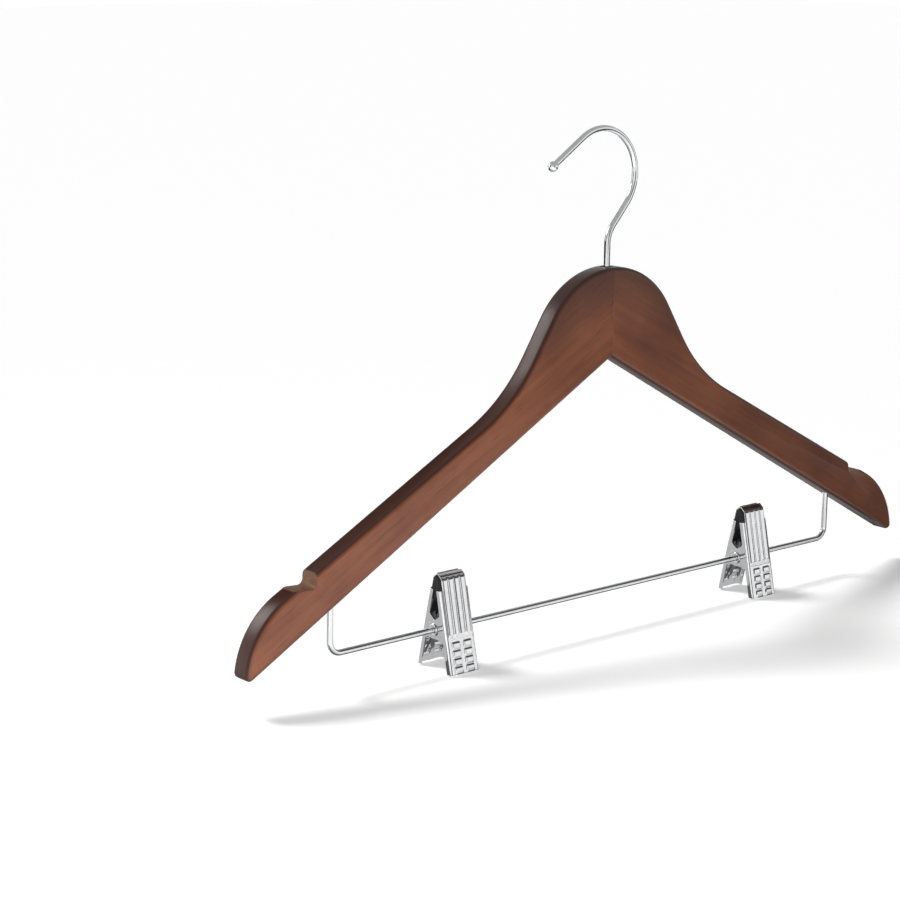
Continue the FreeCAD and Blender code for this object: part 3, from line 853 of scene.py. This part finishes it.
    def build(self) -> None:
        """Makes the right arm, mirrors a copy for the left one, and dresses both."""
        right = self.board()
        top = -self.crown_drop + self.overrun
        shank = Vector((0, 0, -self.bore_bottom)) * MM
        drill(right, self.bore_diameter / 2 * MM, shank, UP_WAY * (top + self.bore_bottom) * MM)
        entry = self.apex.z + self.under_way.z / self.under_way.x * self.bar_reach
        mouth = Vector((self.bar_reach, 0, entry - self.overrun)) * MM
        depth = self.bar_socket + self.overrun
        drill(right, self.bar_hole / 2 * MM, mouth, UP_WAY * depth * MM)
        cut_away(right, self.notch_cutter())
        self.wear_notch(right)
        left = right.copy()
        left.data = right.data.copy()
        left.name = left.data.name = "left_arm_wood"
        bpy.context.scene.collection.objects.link(left)
        put_in_place(left, Matrix.Scale(-1, 4, RIGHT_WAY))
        Workpiece(left).close()
        for hand, piece in ((Hand.LEFT, left), (Hand.RIGHT, right)):
            dress(piece, self.finishes.wood[hand], self.finishes.sawn)
            seat(piece, f"{hand.word}_arm", "hanger_body")


# Hook and trouser bar


@dataclass
class WireHook:
    """The swivelling hook: a headed shank, a lean, a round loop and a straight tail with a ball."""

    finishes: Finishes
    wire: float = 3.2
    loop_radius: float = 23.1
    offset: float = 5.4
    lean_deg: float = 41.0
    bend_radius: float = 14.0
    tail_deg: float = 33.6
    tail: float = 23.2
    ball: float = 5.3
    head_diameter: float = 5.2
    head: float = 2.2
    ball_rings: int = 12

    def build(self) -> None:
        """Bends the wire from its head to its ball."""
        radius = self.wire / 2
        lean = radians(self.lean_deg)
        inside = self.loop_radius - radius
        centre = Vector((-self.offset, 0, -sqrt(inside ** 2 - self.offset ** 2)))
        loop_start = centre + Vector((cos(lean), 0, -sin(lean))) * self.loop_radius
        knee = loop_start.z - loop_start.x / tan(lean)
        cut_back = self.bend_radius * tan(lean / 2)
        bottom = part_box("hook")[0].z
        work = WireWork("hook_wire", self.head_diameter / 2 * MM, UP_WAY * bottom, UP_WAY)
        work.run(self.head * MM)
        work.swell(0, radius * MM)
        work.run((knee - cut_back) * MM - work.end.z)
        work.bend(lean, self.bend_radius * MM, RIGHT_WAY)
        work.run((loop_start * MM - work.end).length)
        work.bend(lean + radians(90 + self.tail_deg), self.loop_radius * MM, centre * MM - work.end,
                  step_deg=3.0)
        swell_start = asin(self.wire / self.ball)
        ball = self.ball / 2
        work.run((self.tail - ball * cos(swell_start)) * MM)
        reached = -ball * cos(swell_start)
        for ring in range(1, self.ball_rings):
            angle = swell_start + (pi - swell_start) * ring / self.ball_rings
            along = -ball * cos(angle)
            work.swell((along - reached) * MM, ball * sin(angle) * MM)
            reached = along
        work.cap()
        piece = work.close()
        dress(piece, self.finishes.wire)
        seat(piece, "hook", "hook_body")


@dataclass
class TrouserBar:
    """The bar: one wire with both ends bent up into the arms."""

    finishes: Finishes
    level: float
    wire: float = 3.0
    reach: float = 172.4
    bend_radius: float = 6.0

    def build(self) -> None:
        """Bends the wire from its left end to its right end."""
        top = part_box("trouser_bar")[1].z
        start = Vector((-self.reach * MM, 0, top))
        bend = self.bend_radius * MM
        work = WireWork("trouser_bar_wire", self.wire / 2 * MM, start, -UP_WAY)
        work.run(top - self.level - bend)
        work.bend(radians(90), bend, RIGHT_WAY)
        work.run((self.reach - self.bend_radius) * 2 * MM)
        work.bend(radians(90), bend, UP_WAY)
        work.run(top - self.level - bend)
        work.cap()
        piece = work.close()
        dress(piece, self.finishes.wire)
        seat(piece, "trouser_bar", "hanger_body")


# Clips


def ease(value: float) -> float:
    """A smooth step from 0 to 1, level at both ends."""
    value = min(1.0, max(0.0, value))
    return value * value * (3 - 2 * value)


@dataclass
class Clip:
    """A sprung clip: two pressed jaws on an eyelet that slides on the bar, with rubber linings and a spring."""

    finishes: Finishes
    hand: Hand
    pivot: Vector
    width: float = 18.0
    sheet: float = 0.8
    edge_break: float = 0.12
    side_gap: float = 0.1
    stand: float = 9.0
    top: float = 24.7
    handle: float = 22.4
    tilt_deg: float = 12.4
    bend_round: float = 1.6
    lip_length: float = 3.4
    lip_deg: float = 40.0
    lip_round: float = 1.4
    wall_depth: float = 3.1
    wall_top: float = 19.0
    ear_radius: float = 4.8
    ear_share: float = 0.86
    flare_end: float = 7.2
    flare_power: float = 0.35
    ear_hole: float = 2.25
    flute_count: int = 4
    flute_rise: float = 0.6
    flute_low: float = -5.3
    flute_fade: float = 2.4
    flute_past: float = 0.9
    flute_end: float = 1.6
    flute_margin: float = 1.7
    flute_land: float = 0.06
    grip_rows: int = 4
    grip_rise: float = 0.6
    grip_length: float = 5.6
    grip_width: float = 4.0
    grip_spacing: float = 7.2
    grip_pitch: float = 4.0
    grip_start: float = 8.4
    grip_soft: float = 1.0
    grip_fall: float = 0.55
    column: float = 0.22
    row: float = 0.28
    wall_steps: int = 9
    pad_thickness: float = 1.9
    pad_low: float = 6.2
    pad_contact: float = 17.0
    pad_gap: float = 0.2
    pad_round: float = 0.4
    pad_rib: float = 1.1
    pad_groove: float = 0.3
    pad_groove_side: float = 0.08
    bar_wire: float = 3.0
    bore_gap: float = 0.06
    sleeve_diameter: float = 4.4
    collar_diameter: float = 6.4
    collar: float = 0.5
    spring_wire: float = 1.1
    spring_radius: float = 3.3
    spring_pitch: float = 1.75
    spring_turns: int = 4
    spring_sides: int = 16
    spring_step_deg: float = 9.0
    spring_leg: float = 16.5
    spring_leg_gap: float = 0.15

    @property
    def name(self) -> str:
        """What the names of the clip's nodes and bodies begin with."""
        return f"{self.hand.word}_clip"

    def jaw_width(self, face: Face) -> float:
        """The rear jaw is narrower, so that its ears lie inside those of the front one."""
        return self.width - (2 * (self.sheet + self.side_gap) if face is Face.REAR else 0)

    def leaned(self, face: Face) -> Matrix:
        """The place of a jaw that is drawn upright round the pivot."""
        lean = Matrix.Rotation(radians(self.tilt_deg) * face.value, 4, RIGHT_WAY)
        return Matrix.Translation(self.pivot) @ lean

    def pressed(self, across: float, up: float, width: float) -> float:
        """How far the tool presses the sheet outwards at a place on a jaw.

        Args:
            across: distance from the jaw's middle.
            up: height above the pivot, along the jaw.
            width: the jaw's width.

        Returns:
            The rise in millimetres.
        """
        pitch = (width - 2 * self.flute_margin) / self.flute_count
        from_edge = across + width / 2 - self.flute_margin
        rise = 0.0
        if 0 < from_edge < pitch * self.flute_count:
            half = (pitch - self.flute_land) / 2
            share = abs(from_edge % pitch - pitch / 2) / half
            rise = self.flute_rise * sqrt(max(0.0, 1 - share ** 2))
            rise *= ease((up - self.flute_low) / self.flute_fade)
            rise *= ease((self.plate_top + self.flute_past - up) / self.flute_end)
        for number in range(self.grip_rows):
            level = -(self.grip_start + self.grip_pitch * number)
            reach = self.grip_width / 2
            down = level - up
            runs_out = number == self.grip_rows - 1
            inside_up = reach + down if runs_out else reach - abs(down)
            inside_across = self.grip_length / 2 - abs(abs(across) - self.grip_spacing / 2)
            block = ease(inside_up / self.grip_soft) * ease(inside_across / self.grip_soft)
            if runs_out:
                block *= 1 - self.grip_fall * max(0.0, down) / reach
            rise = max(rise, self.grip_rise * block)
        return rise

    def wall_reach(self, up: float) -> float:
        """Works out a jaw's side wall, which is shallow along the jaw and flares into a round ear at the pivot.

        Args:
            up: a height above the pivot, along the jaw.

        Returns:
            The wall's depth there, in millimetres.
        """
        ear_edge = self.ear_radius * self.ear_share
        height = abs(up)
        if height < ear_edge:
            return self.stand + sqrt(self.ear_radius ** 2 - height ** 2)
        ear = self.stand + sqrt(self.ear_radius ** 2 - ear_edge ** 2)
        flare = ease((height - ear_edge) / (self.flare_end - ear_edge)) ** self.flare_power
        return ear + (self.wall_depth - ear) * flare

    @property
    def plate_top(self) -> float:
        """Height above the pivot at which a jaw's plate turns into its lip."""
        return self.top - self.lip_round * tan(radians(self.lip_deg) / 2)

    def jaw(self, face: Face) -> None:
        """Bends a jaw from sheet: a plate, a turned-in lip and side walls that end in ears.

        Args:
            face: which of the two jaws.
        """
        side = face.value
        half = self.jaw_width(face) / 2 - self.bend_round
        lip = radians(self.lip_deg)
        plate_top = self.plate_top
        columns = round(2 * half / self.column)
        rows = round((plate_top + self.handle) / self.row)
        clear_bench()
        bpy.ops.mesh.primitive_grid_add(x_subdivisions=columns, y_subdivisions=rows, size=2)
        work = Workpiece(named(f"{self.name}_{face.word}_pressing"))

        def on_plate(place: Vector) -> Vector:
            """Where a point of the grid lies on the flat plate."""
            across = place.x * half
            up = -self.handle + (place.y + 1) / 2 * (plate_top + self.handle)
            return Vector((across, side * self.stand, up)) * MM

        work.reshape(on_plate)
        work.select("EDGE", lambda edge: all(v.co.z > plate_top * MM - MERGE_GAP for v in edge.verts))
        centre = Vector((0, side * (self.stand - self.lip_round), plate_top)) * MM
        work.spin(lip, centre, RIGHT_WAY * side, steps=8)
        lip_way = Vector((0, -side * sin(lip), cos(lip)))
        work.extrude(lip_way * (self.lip_length - self.lip_round * tan(lip / 2)) * MM)
        for hand in Hand:
            edge_at = hand.value * half
            work.select("EDGE", lambda edge: all(
                abs(v.co.x - edge_at * MM) < MERGE_GAP and v.co.z < self.wall_top * MM for v in edge.verts))
            centre = Vector((edge_at, side * (self.stand - self.bend_round), 0)) * MM
            work.spin(radians(90) * side * -hand.value, centre, UP_WAY, steps=7)
            for _ in range(self.wall_steps):
                work.extrude(BACK_WAY * -side * MM / self.wall_steps)
        wall_start = self.stand - self.bend_round

        def flared(place: Vector) -> Vector:
            """Draws a point of a wall out to the wall's depth."""
            share = wall_start - side * place.y / MM
            if abs(place.x) < (half + self.bend_round) * MM - MERGE_GAP or share <= 0:
                return place
            depth = (self.wall_reach(place.z / MM) - self.bend_round) * share
            return Vector((place.x, side * (wall_start - depth) * MM, place.z))

        work.reshape(flared)
        self.thicken(work.close(), face)

    def press(self, piece: Object, face: Face) -> None:
        """Presses flutes and grips into a jaw, into both faces of its sheet alike.

        Args:
            piece: the jaw.
            face: which of the two jaws it is.
        """
        side = face.value
        width = self.jaw_width(face)
        lip = radians(self.lip_deg)

        def pushed(place: Vector) -> Vector:
            """Where the tool leaves a point, square to the sheet and round the lip's bend."""
            across, out, up = place.x / MM, side * place.y / MM, place.z / MM
            turn = 0.0
            if up > self.plate_top:
                turn = min(lip, atan2(up - self.plate_top, out - self.stand + self.lip_round))
            rise = self.pressed(across, up, width)
            return place + Vector((0, side * cos(turn), sin(turn))) * rise * MM

        work = Workpiece(piece)
        work.reshape(pushed)
        work.close(smooth_deg=45.0)

    def thicken(self, piece: Object, face: Face) -> None:
        """Gives a bent skin the sheet's thickness, drills the ears, breaks the edges, presses and leans the jaw.

        Args:
            piece: the skin.
            face: which of the two jaws it is.
        """
        outward = sum(polygon.normal.y * polygon.area for polygon in piece.data.polygons)
        if outward * face.value < 0:
            piece.data.flip_normals()
        apply_modifier(piece, "SOLIDIFY", thickness=self.sheet * MM, offset=-1, use_even_offset=True)
        start = RIGHT_WAY * -self.width * MM
        drill(piece, self.ear_hole * MM, start, RIGHT_WAY * 2 * self.width * MM)
        apply_modifier(piece, "BEVEL", width=self.edge_break * MM, segments=2, limit_method="ANGLE",
                       angle_limit=radians(55), use_clamp_overlap=True)
        self.press(piece, face)
        put_in_place(piece, self.leaned(face))
        dress(piece, self.finishes.sheet)
        seat(piece, f"{self.name}_{face.word}_jaw", f"{self.name}_{face.word}")

    def lining(self, face: Face) -> None:
        """Moulds a rubber lining, thick and ribbed where the closed jaws meet.

        Args:
            face: the jaw that it lines.
        """
        side = face.value
        tilt = tan(radians(self.tilt_deg))
        lip = tan(radians(self.lip_deg))
        inside = self.stand - self.sheet
        gap = self.pad_gap / 2 / cos(radians(self.tilt_deg))
        shoulder = self.top - self.sheet * tan(radians(self.lip_deg) / 2)
        crest = shoulder + (inside - gap - shoulder * tilt) / (lip + tilt)
        thin = inside - self.pad_thickness
        half = self.jaw_width(face) / 2 - self.sheet - self.side_gap
        outline = [
            (inside, self.pad_low),
            (inside, shoulder),
            (crest * tilt + gap, crest),
            (self.pad_contact * tilt + gap, self.pad_contact),
            (thin, (self.pad_contact + self.pad_low) / 2),
            (thin, self.pad_low),
        ]
        corners = [Vector((-half, side * out, up)) * MM for out, up in outline]
        name = f"{self.name}_{face.word}_lining"
        work = Workpiece.prism(name, corners, RIGHT_WAY * 2 * half * MM)
        work.select("EDGE", lambda edge: True)
        work.bevel(self.pad_round * MM, segments=3)
        ribs = int((crest - self.pad_contact - 2 * self.pad_round) / self.pad_rib)
        levels = [self.pad_contact + self.pad_round + self.pad_rib * number for number in range(ribs + 1)]
        for level in levels:
            bpy.ops.mesh.select_all(action="SELECT")
            bpy.ops.mesh.bisect(plane_co=UP_WAY * level * MM, plane_no=UP_WAY)
        grip_normal = Vector((0, -side, tilt)).normalized()

        def in_groove(polygon: BMFace) -> bool:
            """Whether a face lies between two ribs, on the side that grips."""
            level = polygon.calc_center_median().z / MM
            share = (level - levels[0]) / self.pad_rib
            return polygon.normal.dot(grip_normal) > SAME_WAY and 0 < share < ribs and int(share) % 2 == 1

        work.select("FACE", in_groove)
        bpy.ops.mesh.inset(thickness=self.pad_groove_side * MM, depth=-self.pad_groove * MM)
        piece = work.close()
        put_in_place(piece, self.leaned(face))
        dress(piece, self.finishes.rubber)
        seat(piece, f"{self.name}_{face.word}_pad", f"{self.name}_{face.word}")

    def eyelet(self) -> None:
        """Rolls the hollow rivet that holds the ears together and runs on the bar."""
        bore = self.bar_wire / 2 + self.bore_gap
        body = self.sleeve_diameter / 2
        rim = self.collar_diameter / 2
        half = self.width / 2 + self.side_gap
        curl = self.collar / 2
        flare = [(half, body), (half, rim - curl), (half + curl, rim), (half + self.collar, rim - curl),
                 (half + self.collar, bore + curl), (half + curl, bore)]
        profile = [(-along, out) for along, out in reversed(flare)] + flare
        first = profile[0]
        start = self.pivot + RIGHT_WAY * first[0] * MM
        work = WireWork(f"{self.name}_eyelet", first[1] * MM, start, RIGHT_WAY, sides=40)
        for (last_along, _), (along, out) in zip(profile, profile[1:]):
            work.swell((along - last_along) * MM, out * MM)
        for vertex in work.mesh().verts:
            if work.at_start(vertex):
                vertex.select_set(True)
        work.mesh().select_flush(True)
        bpy.ops.mesh.bridge_edge_loops()
        piece = work.close(smooth_deg=50.0)
        dress(piece, self.finishes.sheet)
        seat(piece, f"{self.name}_sleeve", f"{self.name}_slider")

    def spring(self) -> None:
        """Winds the torsion spring, whose legs press the handles apart."""
        tilt = radians(self.tilt_deg)
        stand = self.stand - self.sheet - self.spring_wire / 2 - self.spring_leg_gap
        foot_out = stand * cos(tilt) + self.spring_leg * sin(tilt)
        foot_down = self.spring_leg * cos(tilt) - stand * sin(tilt)
        far = hypot(foot_out, foot_down)
        radius = self.spring_radius
        leg = sqrt(far ** 2 - radius ** 2)
        start = acos(radius / far) - atan2(foot_down, foot_out)
        turning = pi - 2 * start + 2 * pi * self.spring_turns
        climb = self.spring_pitch / (2 * pi)

        def wound(angle: float) -> tuple[Vector, Vector]:
            """Where the wire is at an angle round the coil, and which way it runs there."""
            place = Vector((climb * (angle - start - turning / 2), radius * cos(angle), radius * sin(angle)))
            way = Vector((climb, -radius * sin(angle), radius * cos(angle))).normalized()
            return place * MM, way

        first, first_way = wound(start)
        last, last_way = wound(start + turning)
        piece = WireWork(f"{self.name}_coil", self.spring_wire / 2 * MM, first, first_way, self.spring_sides).piece
        steps = ceil(degrees(turning) / self.spring_step_deg)
        apply_modifier(piece, "SCREW", axis="X", angle=turning, screw_offset=climb * turning * MM, iterations=1,
                       steps=steps, render_steps=steps, use_merge_vertices=False)
        work = Workpiece(piece)
        slope = self.spring_radius / hypot(self.spring_radius, climb)
        for place, way, sign in ((first, first_way, -1), (last, last_way, 1)):
            def on_ring(vertex: BMVert) -> bool:
                """Whether a vertex belongs to the coil's end ring."""
                offset = vertex.co - place
                near = offset.length < self.spring_wire * MM
                return near and abs(offset.dot(way)) < MERGE_GAP

            work.select("VERT", on_ring)
            work.extrude(way * sign * leg / slope * MM)
            bpy.ops.mesh.edge_face_add()
        piece = work.close()
        put_in_place(piece, Matrix.Translation(self.pivot))
        dress(piece, self.finishes.spring)
        rear, front = (f"{self.name}_{face.word}" for face in (Face.REAR, Face.FRONT))
        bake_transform(piece)
        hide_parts(f"{self.name}_spring")
        log.info("%s: %d faces, between %s and %s", piece.name, len(piece.data.polygons), rear, front)

    def build(self) -> None:
        """Makes the whole clip."""
        for face in Face:
            self.jaw(face)
            self.lining(face)
        self.eyelet()
        self.spring()


# Studio


@dataclass(frozen=True)
class Card:
    """A card that shows only in reflections, and only from its front: a bright one is a painted highlight, a dark one
    painted shade.

    Its place is its middle in millimetres, with the height from the floor. A level of 1 is the white of the set.
    """

    name: str
    place: tuple[float, float, float]
    faces: tuple[float, float, float]
    sides: tuple[float, float]
    level: float


@dataclass
class Studio:
    """White sweep, soft light and a long lens at the place from which the hanger was photographed."""

    lens: float = 96.0
    sensor: float = 36.0
    nearest: float = 50.0
    camera_place: tuple[float, float, float] = (-821.0, -852.0, 112.6)
    azimuth_deg: float = -40.22
    elevation_deg: float = 13.03
    roll_deg: float = 0.66
    floor_gap: float = 0.3
    floor_size: float = 12000.0
    floor_colour: str = "#e6e6e6"
    floor_lift: float = 0.39
    sky_colour: str = "#ffffff"
    sky_level: float = 0.19
    zenith_share: float = 0.45
    zenith_from: float = 0.1
    zenith_to: float = 0.55
    drape_radius: float = 1500.0
    drape_height: float = 900.0
    drape_panels: int = 72
    drape_colour: str = "#868585"
    drape_sectors: tuple[tuple[float, float], ...] = ((-28, 4), (75, 112), (165, 200), (245, 270))
    cards: tuple[Card, ...] = (
        # A painted highlight: a bright card that only mirrors see, for the sheen on the rims; it lights nothing
        Card("rim_card", (-540, 864, 668.5), (540, -864, -564), (430, 430), 5.0),
        # Painted shade: a nearly black flag behind the crown that darkens what the rims reflect
        Card("rim_flag", (-80, 100, 154.5), (0, -1, 0), (280, 100), 0.02),
        # Painted shade: a dark card overhead, in front, that darkens what the lips and upper faces reflect
        Card("over_card", (150, -130, 154.5), (0, 0, -1), (560, 230), 0.09),
        # Painted shade: a dark card on the floor at the front right, so that mirrors see the floor there darker than
        # the camera does
        Card("front_card", (815, -570, 1), (0, 0, 1), (1170, 1260), 0.1),
        # Painted shadow: a dark strip on the floor under the hanger, the contact shadow as mirrors see it
        Card("under_card", (0, -5, 1), (0, 0, 1), (440, 22), 0.12),
        # Painted shade: a grey card on the floor behind the hanger, so that mirrors see the floor there darker
        Card("back_card", (-20, 80, 1), (0, 0, 1), (520, 148), 0.55),
    )
    key_place: tuple[float, float, float] = (-520, -380, -150)
    key_watts: float = 3.4
    key_size: float = 360.0
    sun_place: tuple[float, float, float] = (-500, 700, 1100)
    sun_strength: float = 2.5
    sun_deg: float = 18.0

    def camera(self) -> None:
        """Sets up the camera."""
        lens = bpy.data.cameras.new("camera")
        lens.lens = self.lens
        lens.sensor_width = self.sensor
        lens.clip_start = self.nearest * MM
        camera = bpy.data.objects.new("camera", lens)
        turn = (Matrix.Rotation(radians(self.azimuth_deg), 4, "Z")
                @ Matrix.Rotation(radians(90 - self.elevation_deg), 4, "X")
                @ Matrix.Rotation(radians(self.roll_deg), 4, "Z"))
        camera.matrix_world = Matrix.Translation(Vector(self.camera_place) * MM) @ turn
        bpy.context.scene.collection.objects.link(camera)
        bpy.context.scene.camera = camera

    @property
    def floor_level(self) -> float:
        """Height of the floor, just under the handles of the clips."""
        return CAD_BOX[0].z - self.floor_gap * MM

    def floor(self) -> None:
        """Lays a white floor that keeps soft shadows."""
        clear_bench()
        bpy.ops.mesh.primitive_plane_add(size=self.floor_size * MM, location=(0, 0, self.floor_level))
        floor = named("floor")
        material = bpy.data.materials.new("Paper sweep, matte white")
        tree = bare_nodes(material)
        paper = add_node(tree, "BsdfDiffuse", {"Color": linear(self.floor_colour)})
        glow = add_node(tree, "Emission", {"Strength": self.floor_lift})
        both = add_node(tree, "AddShader", {0: paper, 1: glow})
        shown = add_node(tree, "MixShader", {0: self.seen_directly(tree), 1: paper, 2: both})
        add_node(tree, "OutputMaterial", {"Surface": shown})
        dress(floor, material)

    def drapes(self) -> None:
        """Hangs grey cloth round the set, out of the picture, which gives bright metal its darker lines."""
        clear_bench()
        middle = self.floor_level + self.drape_height / 2 * MM
        bpy.ops.mesh.primitive_cylinder_add(
            vertices=self.drape_panels, radius=self.drape_radius * MM, end_fill_type="NOTHING",
            depth=self.drape_height * MM, location=(0, 0, middle))
        work = Workpiece(named("drapes"))

        def in_gap(face: BMFace) -> bool:
            """Whether no cloth hangs at a face, by its angle round the set."""
            place = face.calc_center_median()
            turn = degrees(atan2(place.x, -place.y))
            return not any(low < angle < high for low, high in self.drape_sectors for angle in (turn, turn + 360))

        work.select("FACE", in_gap)
        bpy.ops.mesh.delete(type="FACE")
        drapes = work.close()
        material = bpy.data.materials.new("Molton cloth, grey")
        tree = bare_nodes(material)
        cloth = add_node(tree, "BsdfPrincipled", {"Base Color": linear(self.drape_colour), "Roughness": 1.0})
        add_node(tree, "OutputMaterial", {"Surface": cloth})
        dress(drapes, material)
        self.only_mirrored(drapes)

    @staticmethod
    def only_mirrored(piece: Object) -> None:
        """Makes a piece of the set show in reflections and nowhere else."""
        piece.visible_camera = piece.visible_diffuse = piece.visible_shadow = False

    def hang(self, card: Card) -> None:
        """Hangs a card.

        Args:
            card: its place, size and brightness.
        """
        clear_bench()
        bpy.ops.mesh.primitive_plane_add(
            size=MM, location=Vector(card.place) * MM + UP_WAY * self.floor_level,
            rotation=Vector(card.faces).to_track_quat("Z", "Y").to_euler())
        piece = named(card.name)
        piece.scale = (*card.sides, 1)
        material = bpy.data.materials.new(f"Card for reflections, {card.name}")
        tree = bare_nodes(material)
        behind = add_node(tree, "NewGeometry", out="Backfacing")
        glow = add_node(tree, "Emission", {"Strength": card.level})
        shown = add_node(tree, "MixShader", {0: behind, 1: glow, 2: add_node(tree, "BsdfTransparent")})
        add_node(tree, "OutputMaterial", {"Surface": shown})
        dress(piece, material)
        self.only_mirrored(piece)

    @staticmethod
    def seen_directly(tree: NodeTree) -> NodeSocket:
        """Tells rays from the camera, mirrors and glass from the rest.

        Args:
            tree: the material's or world's nodes.

        Returns:
            A socket that is 1 for such a ray.
        """
        from_camera = add_node(tree, "LightPath", out="Is Camera Ray")
        path = from_camera.node.outputs
        mirrored = add_node(tree, "Math", {0: path["Is Glossy Ray"], 1: path["Is Transmission Ray"]},
                            operation="MAXIMUM")
        return add_node(tree, "Math", {0: from_camera, 1: mirrored}, operation="MAXIMUM")

    def sky(self) -> None:
        """Surrounds the hanger with white that darkens overhead and lights it less than it shows."""
        world = bpy.data.worlds.new("white tent")
        bpy.context.scene.world = world
        tree = bare_nodes(world)
        white = linear(self.sky_colour)
        height = add_node(tree, "SeparateXYZ", {0: add_node(tree, "TexCoord", out="Generated")}, "Z")
        shade = add_node(tree, "MapRange", {
            "Value": height, "From Min": self.zenith_from, "From Max": self.zenith_to,
            "To Min": 1.0, "To Max": self.zenith_share,
        })
        level = add_node(tree, "Math", {0: shade, 1: self.sky_level}, operation="MULTIPLY")
        lit = add_node(tree, "Background", {"Color": white, "Strength": level})
        shown = add_node(tree, "Background", {"Color": white, "Strength": shade})
        both = add_node(tree, "MixShader", {0: self.seen_directly(tree), 1: lit, 2: shown})
        add_node(tree, "OutputWorld", {"Surface": both})

    def lamp(self, name: str, kind: str, place: tuple[float, float, float], energy: float, **settings: Any) -> None:
        """Hangs a lamp that points at the hanger and doesn't show in reflections.

        Args:
            name: its name.
            kind: "AREA" or "SUN".
            place: where it hangs, in millimetres.
            energy: its power.
            **settings: the lamp's other properties.
        """
        light = bpy.data.lights.new(name, kind)
        light.energy = energy
        for setting, value in settings.items():
            setattr(light, setting, value)
        lamp = bpy.data.objects.new(name, light)
        target = (CAD_BOX[0] + CAD_BOX[1]) / 2
        lamp.location = Vector(place) * MM
        lamp.rotation_euler = (target - lamp.location).to_track_quat("-Z", "Y").to_euler()
        lamp.visible_glossy = False
        bpy.context.scene.collection.objects.link(lamp)

    def build(self) -> None:
        """Sets up the camera, the floor, the drapes, the cards and the light."""
        self.camera()
        self.floor()
        self.drapes()
        self.sky()
        for card in self.cards:
            self.hang(card)
        self.lamp("key_box", "AREA", self.key_place, self.key_watts, size=self.key_size * MM)
        self.lamp("back_sun", "SUN", self.sun_place, self.sun_strength, angle=radians(self.sun_deg))
        bpy.context.scene.view_settings.view_transform = "Standard"


def dress_inner_nodes(finishes: Finishes) -> None:
    """Gives the pieces inside the crown, which stay as they are, their materials."""
    for name in ("upper_dowel", "lower_dowel"):
        dress(frame["nodes"][name], finishes.sawn)
    for name in ("hook_bush", "hook_washer"):
        dress(frame["nodes"][name], finishes.zinc)


def pivot_of(hand: Hand) -> Vector:
    """Where a clip turns on the bar, as its joint says."""
    joint = next(joint for joint in frame["joints"] if joint["name"] == f"{hand.word}_clip_turn")
    return Vector(joint["pos_m"])


def main() -> None:
    """Builds and dresses the hanger, then sets up the studio."""
    logging.basicConfig(level=logging.INFO, format="%(message)s")
    finishes = Finishes(grain_deg=28.7)
    WoodenArms(finishes).build()
    WireHook(finishes).build()
    TrouserBar(finishes, pivot_of(Hand.LEFT).z).build()
    for hand in Hand:
        Clip(finishes, hand, pivot_of(hand)).build()
    dress_inner_nodes(finishes)
    Studio().build()


if __name__ == "__main__":
    main()
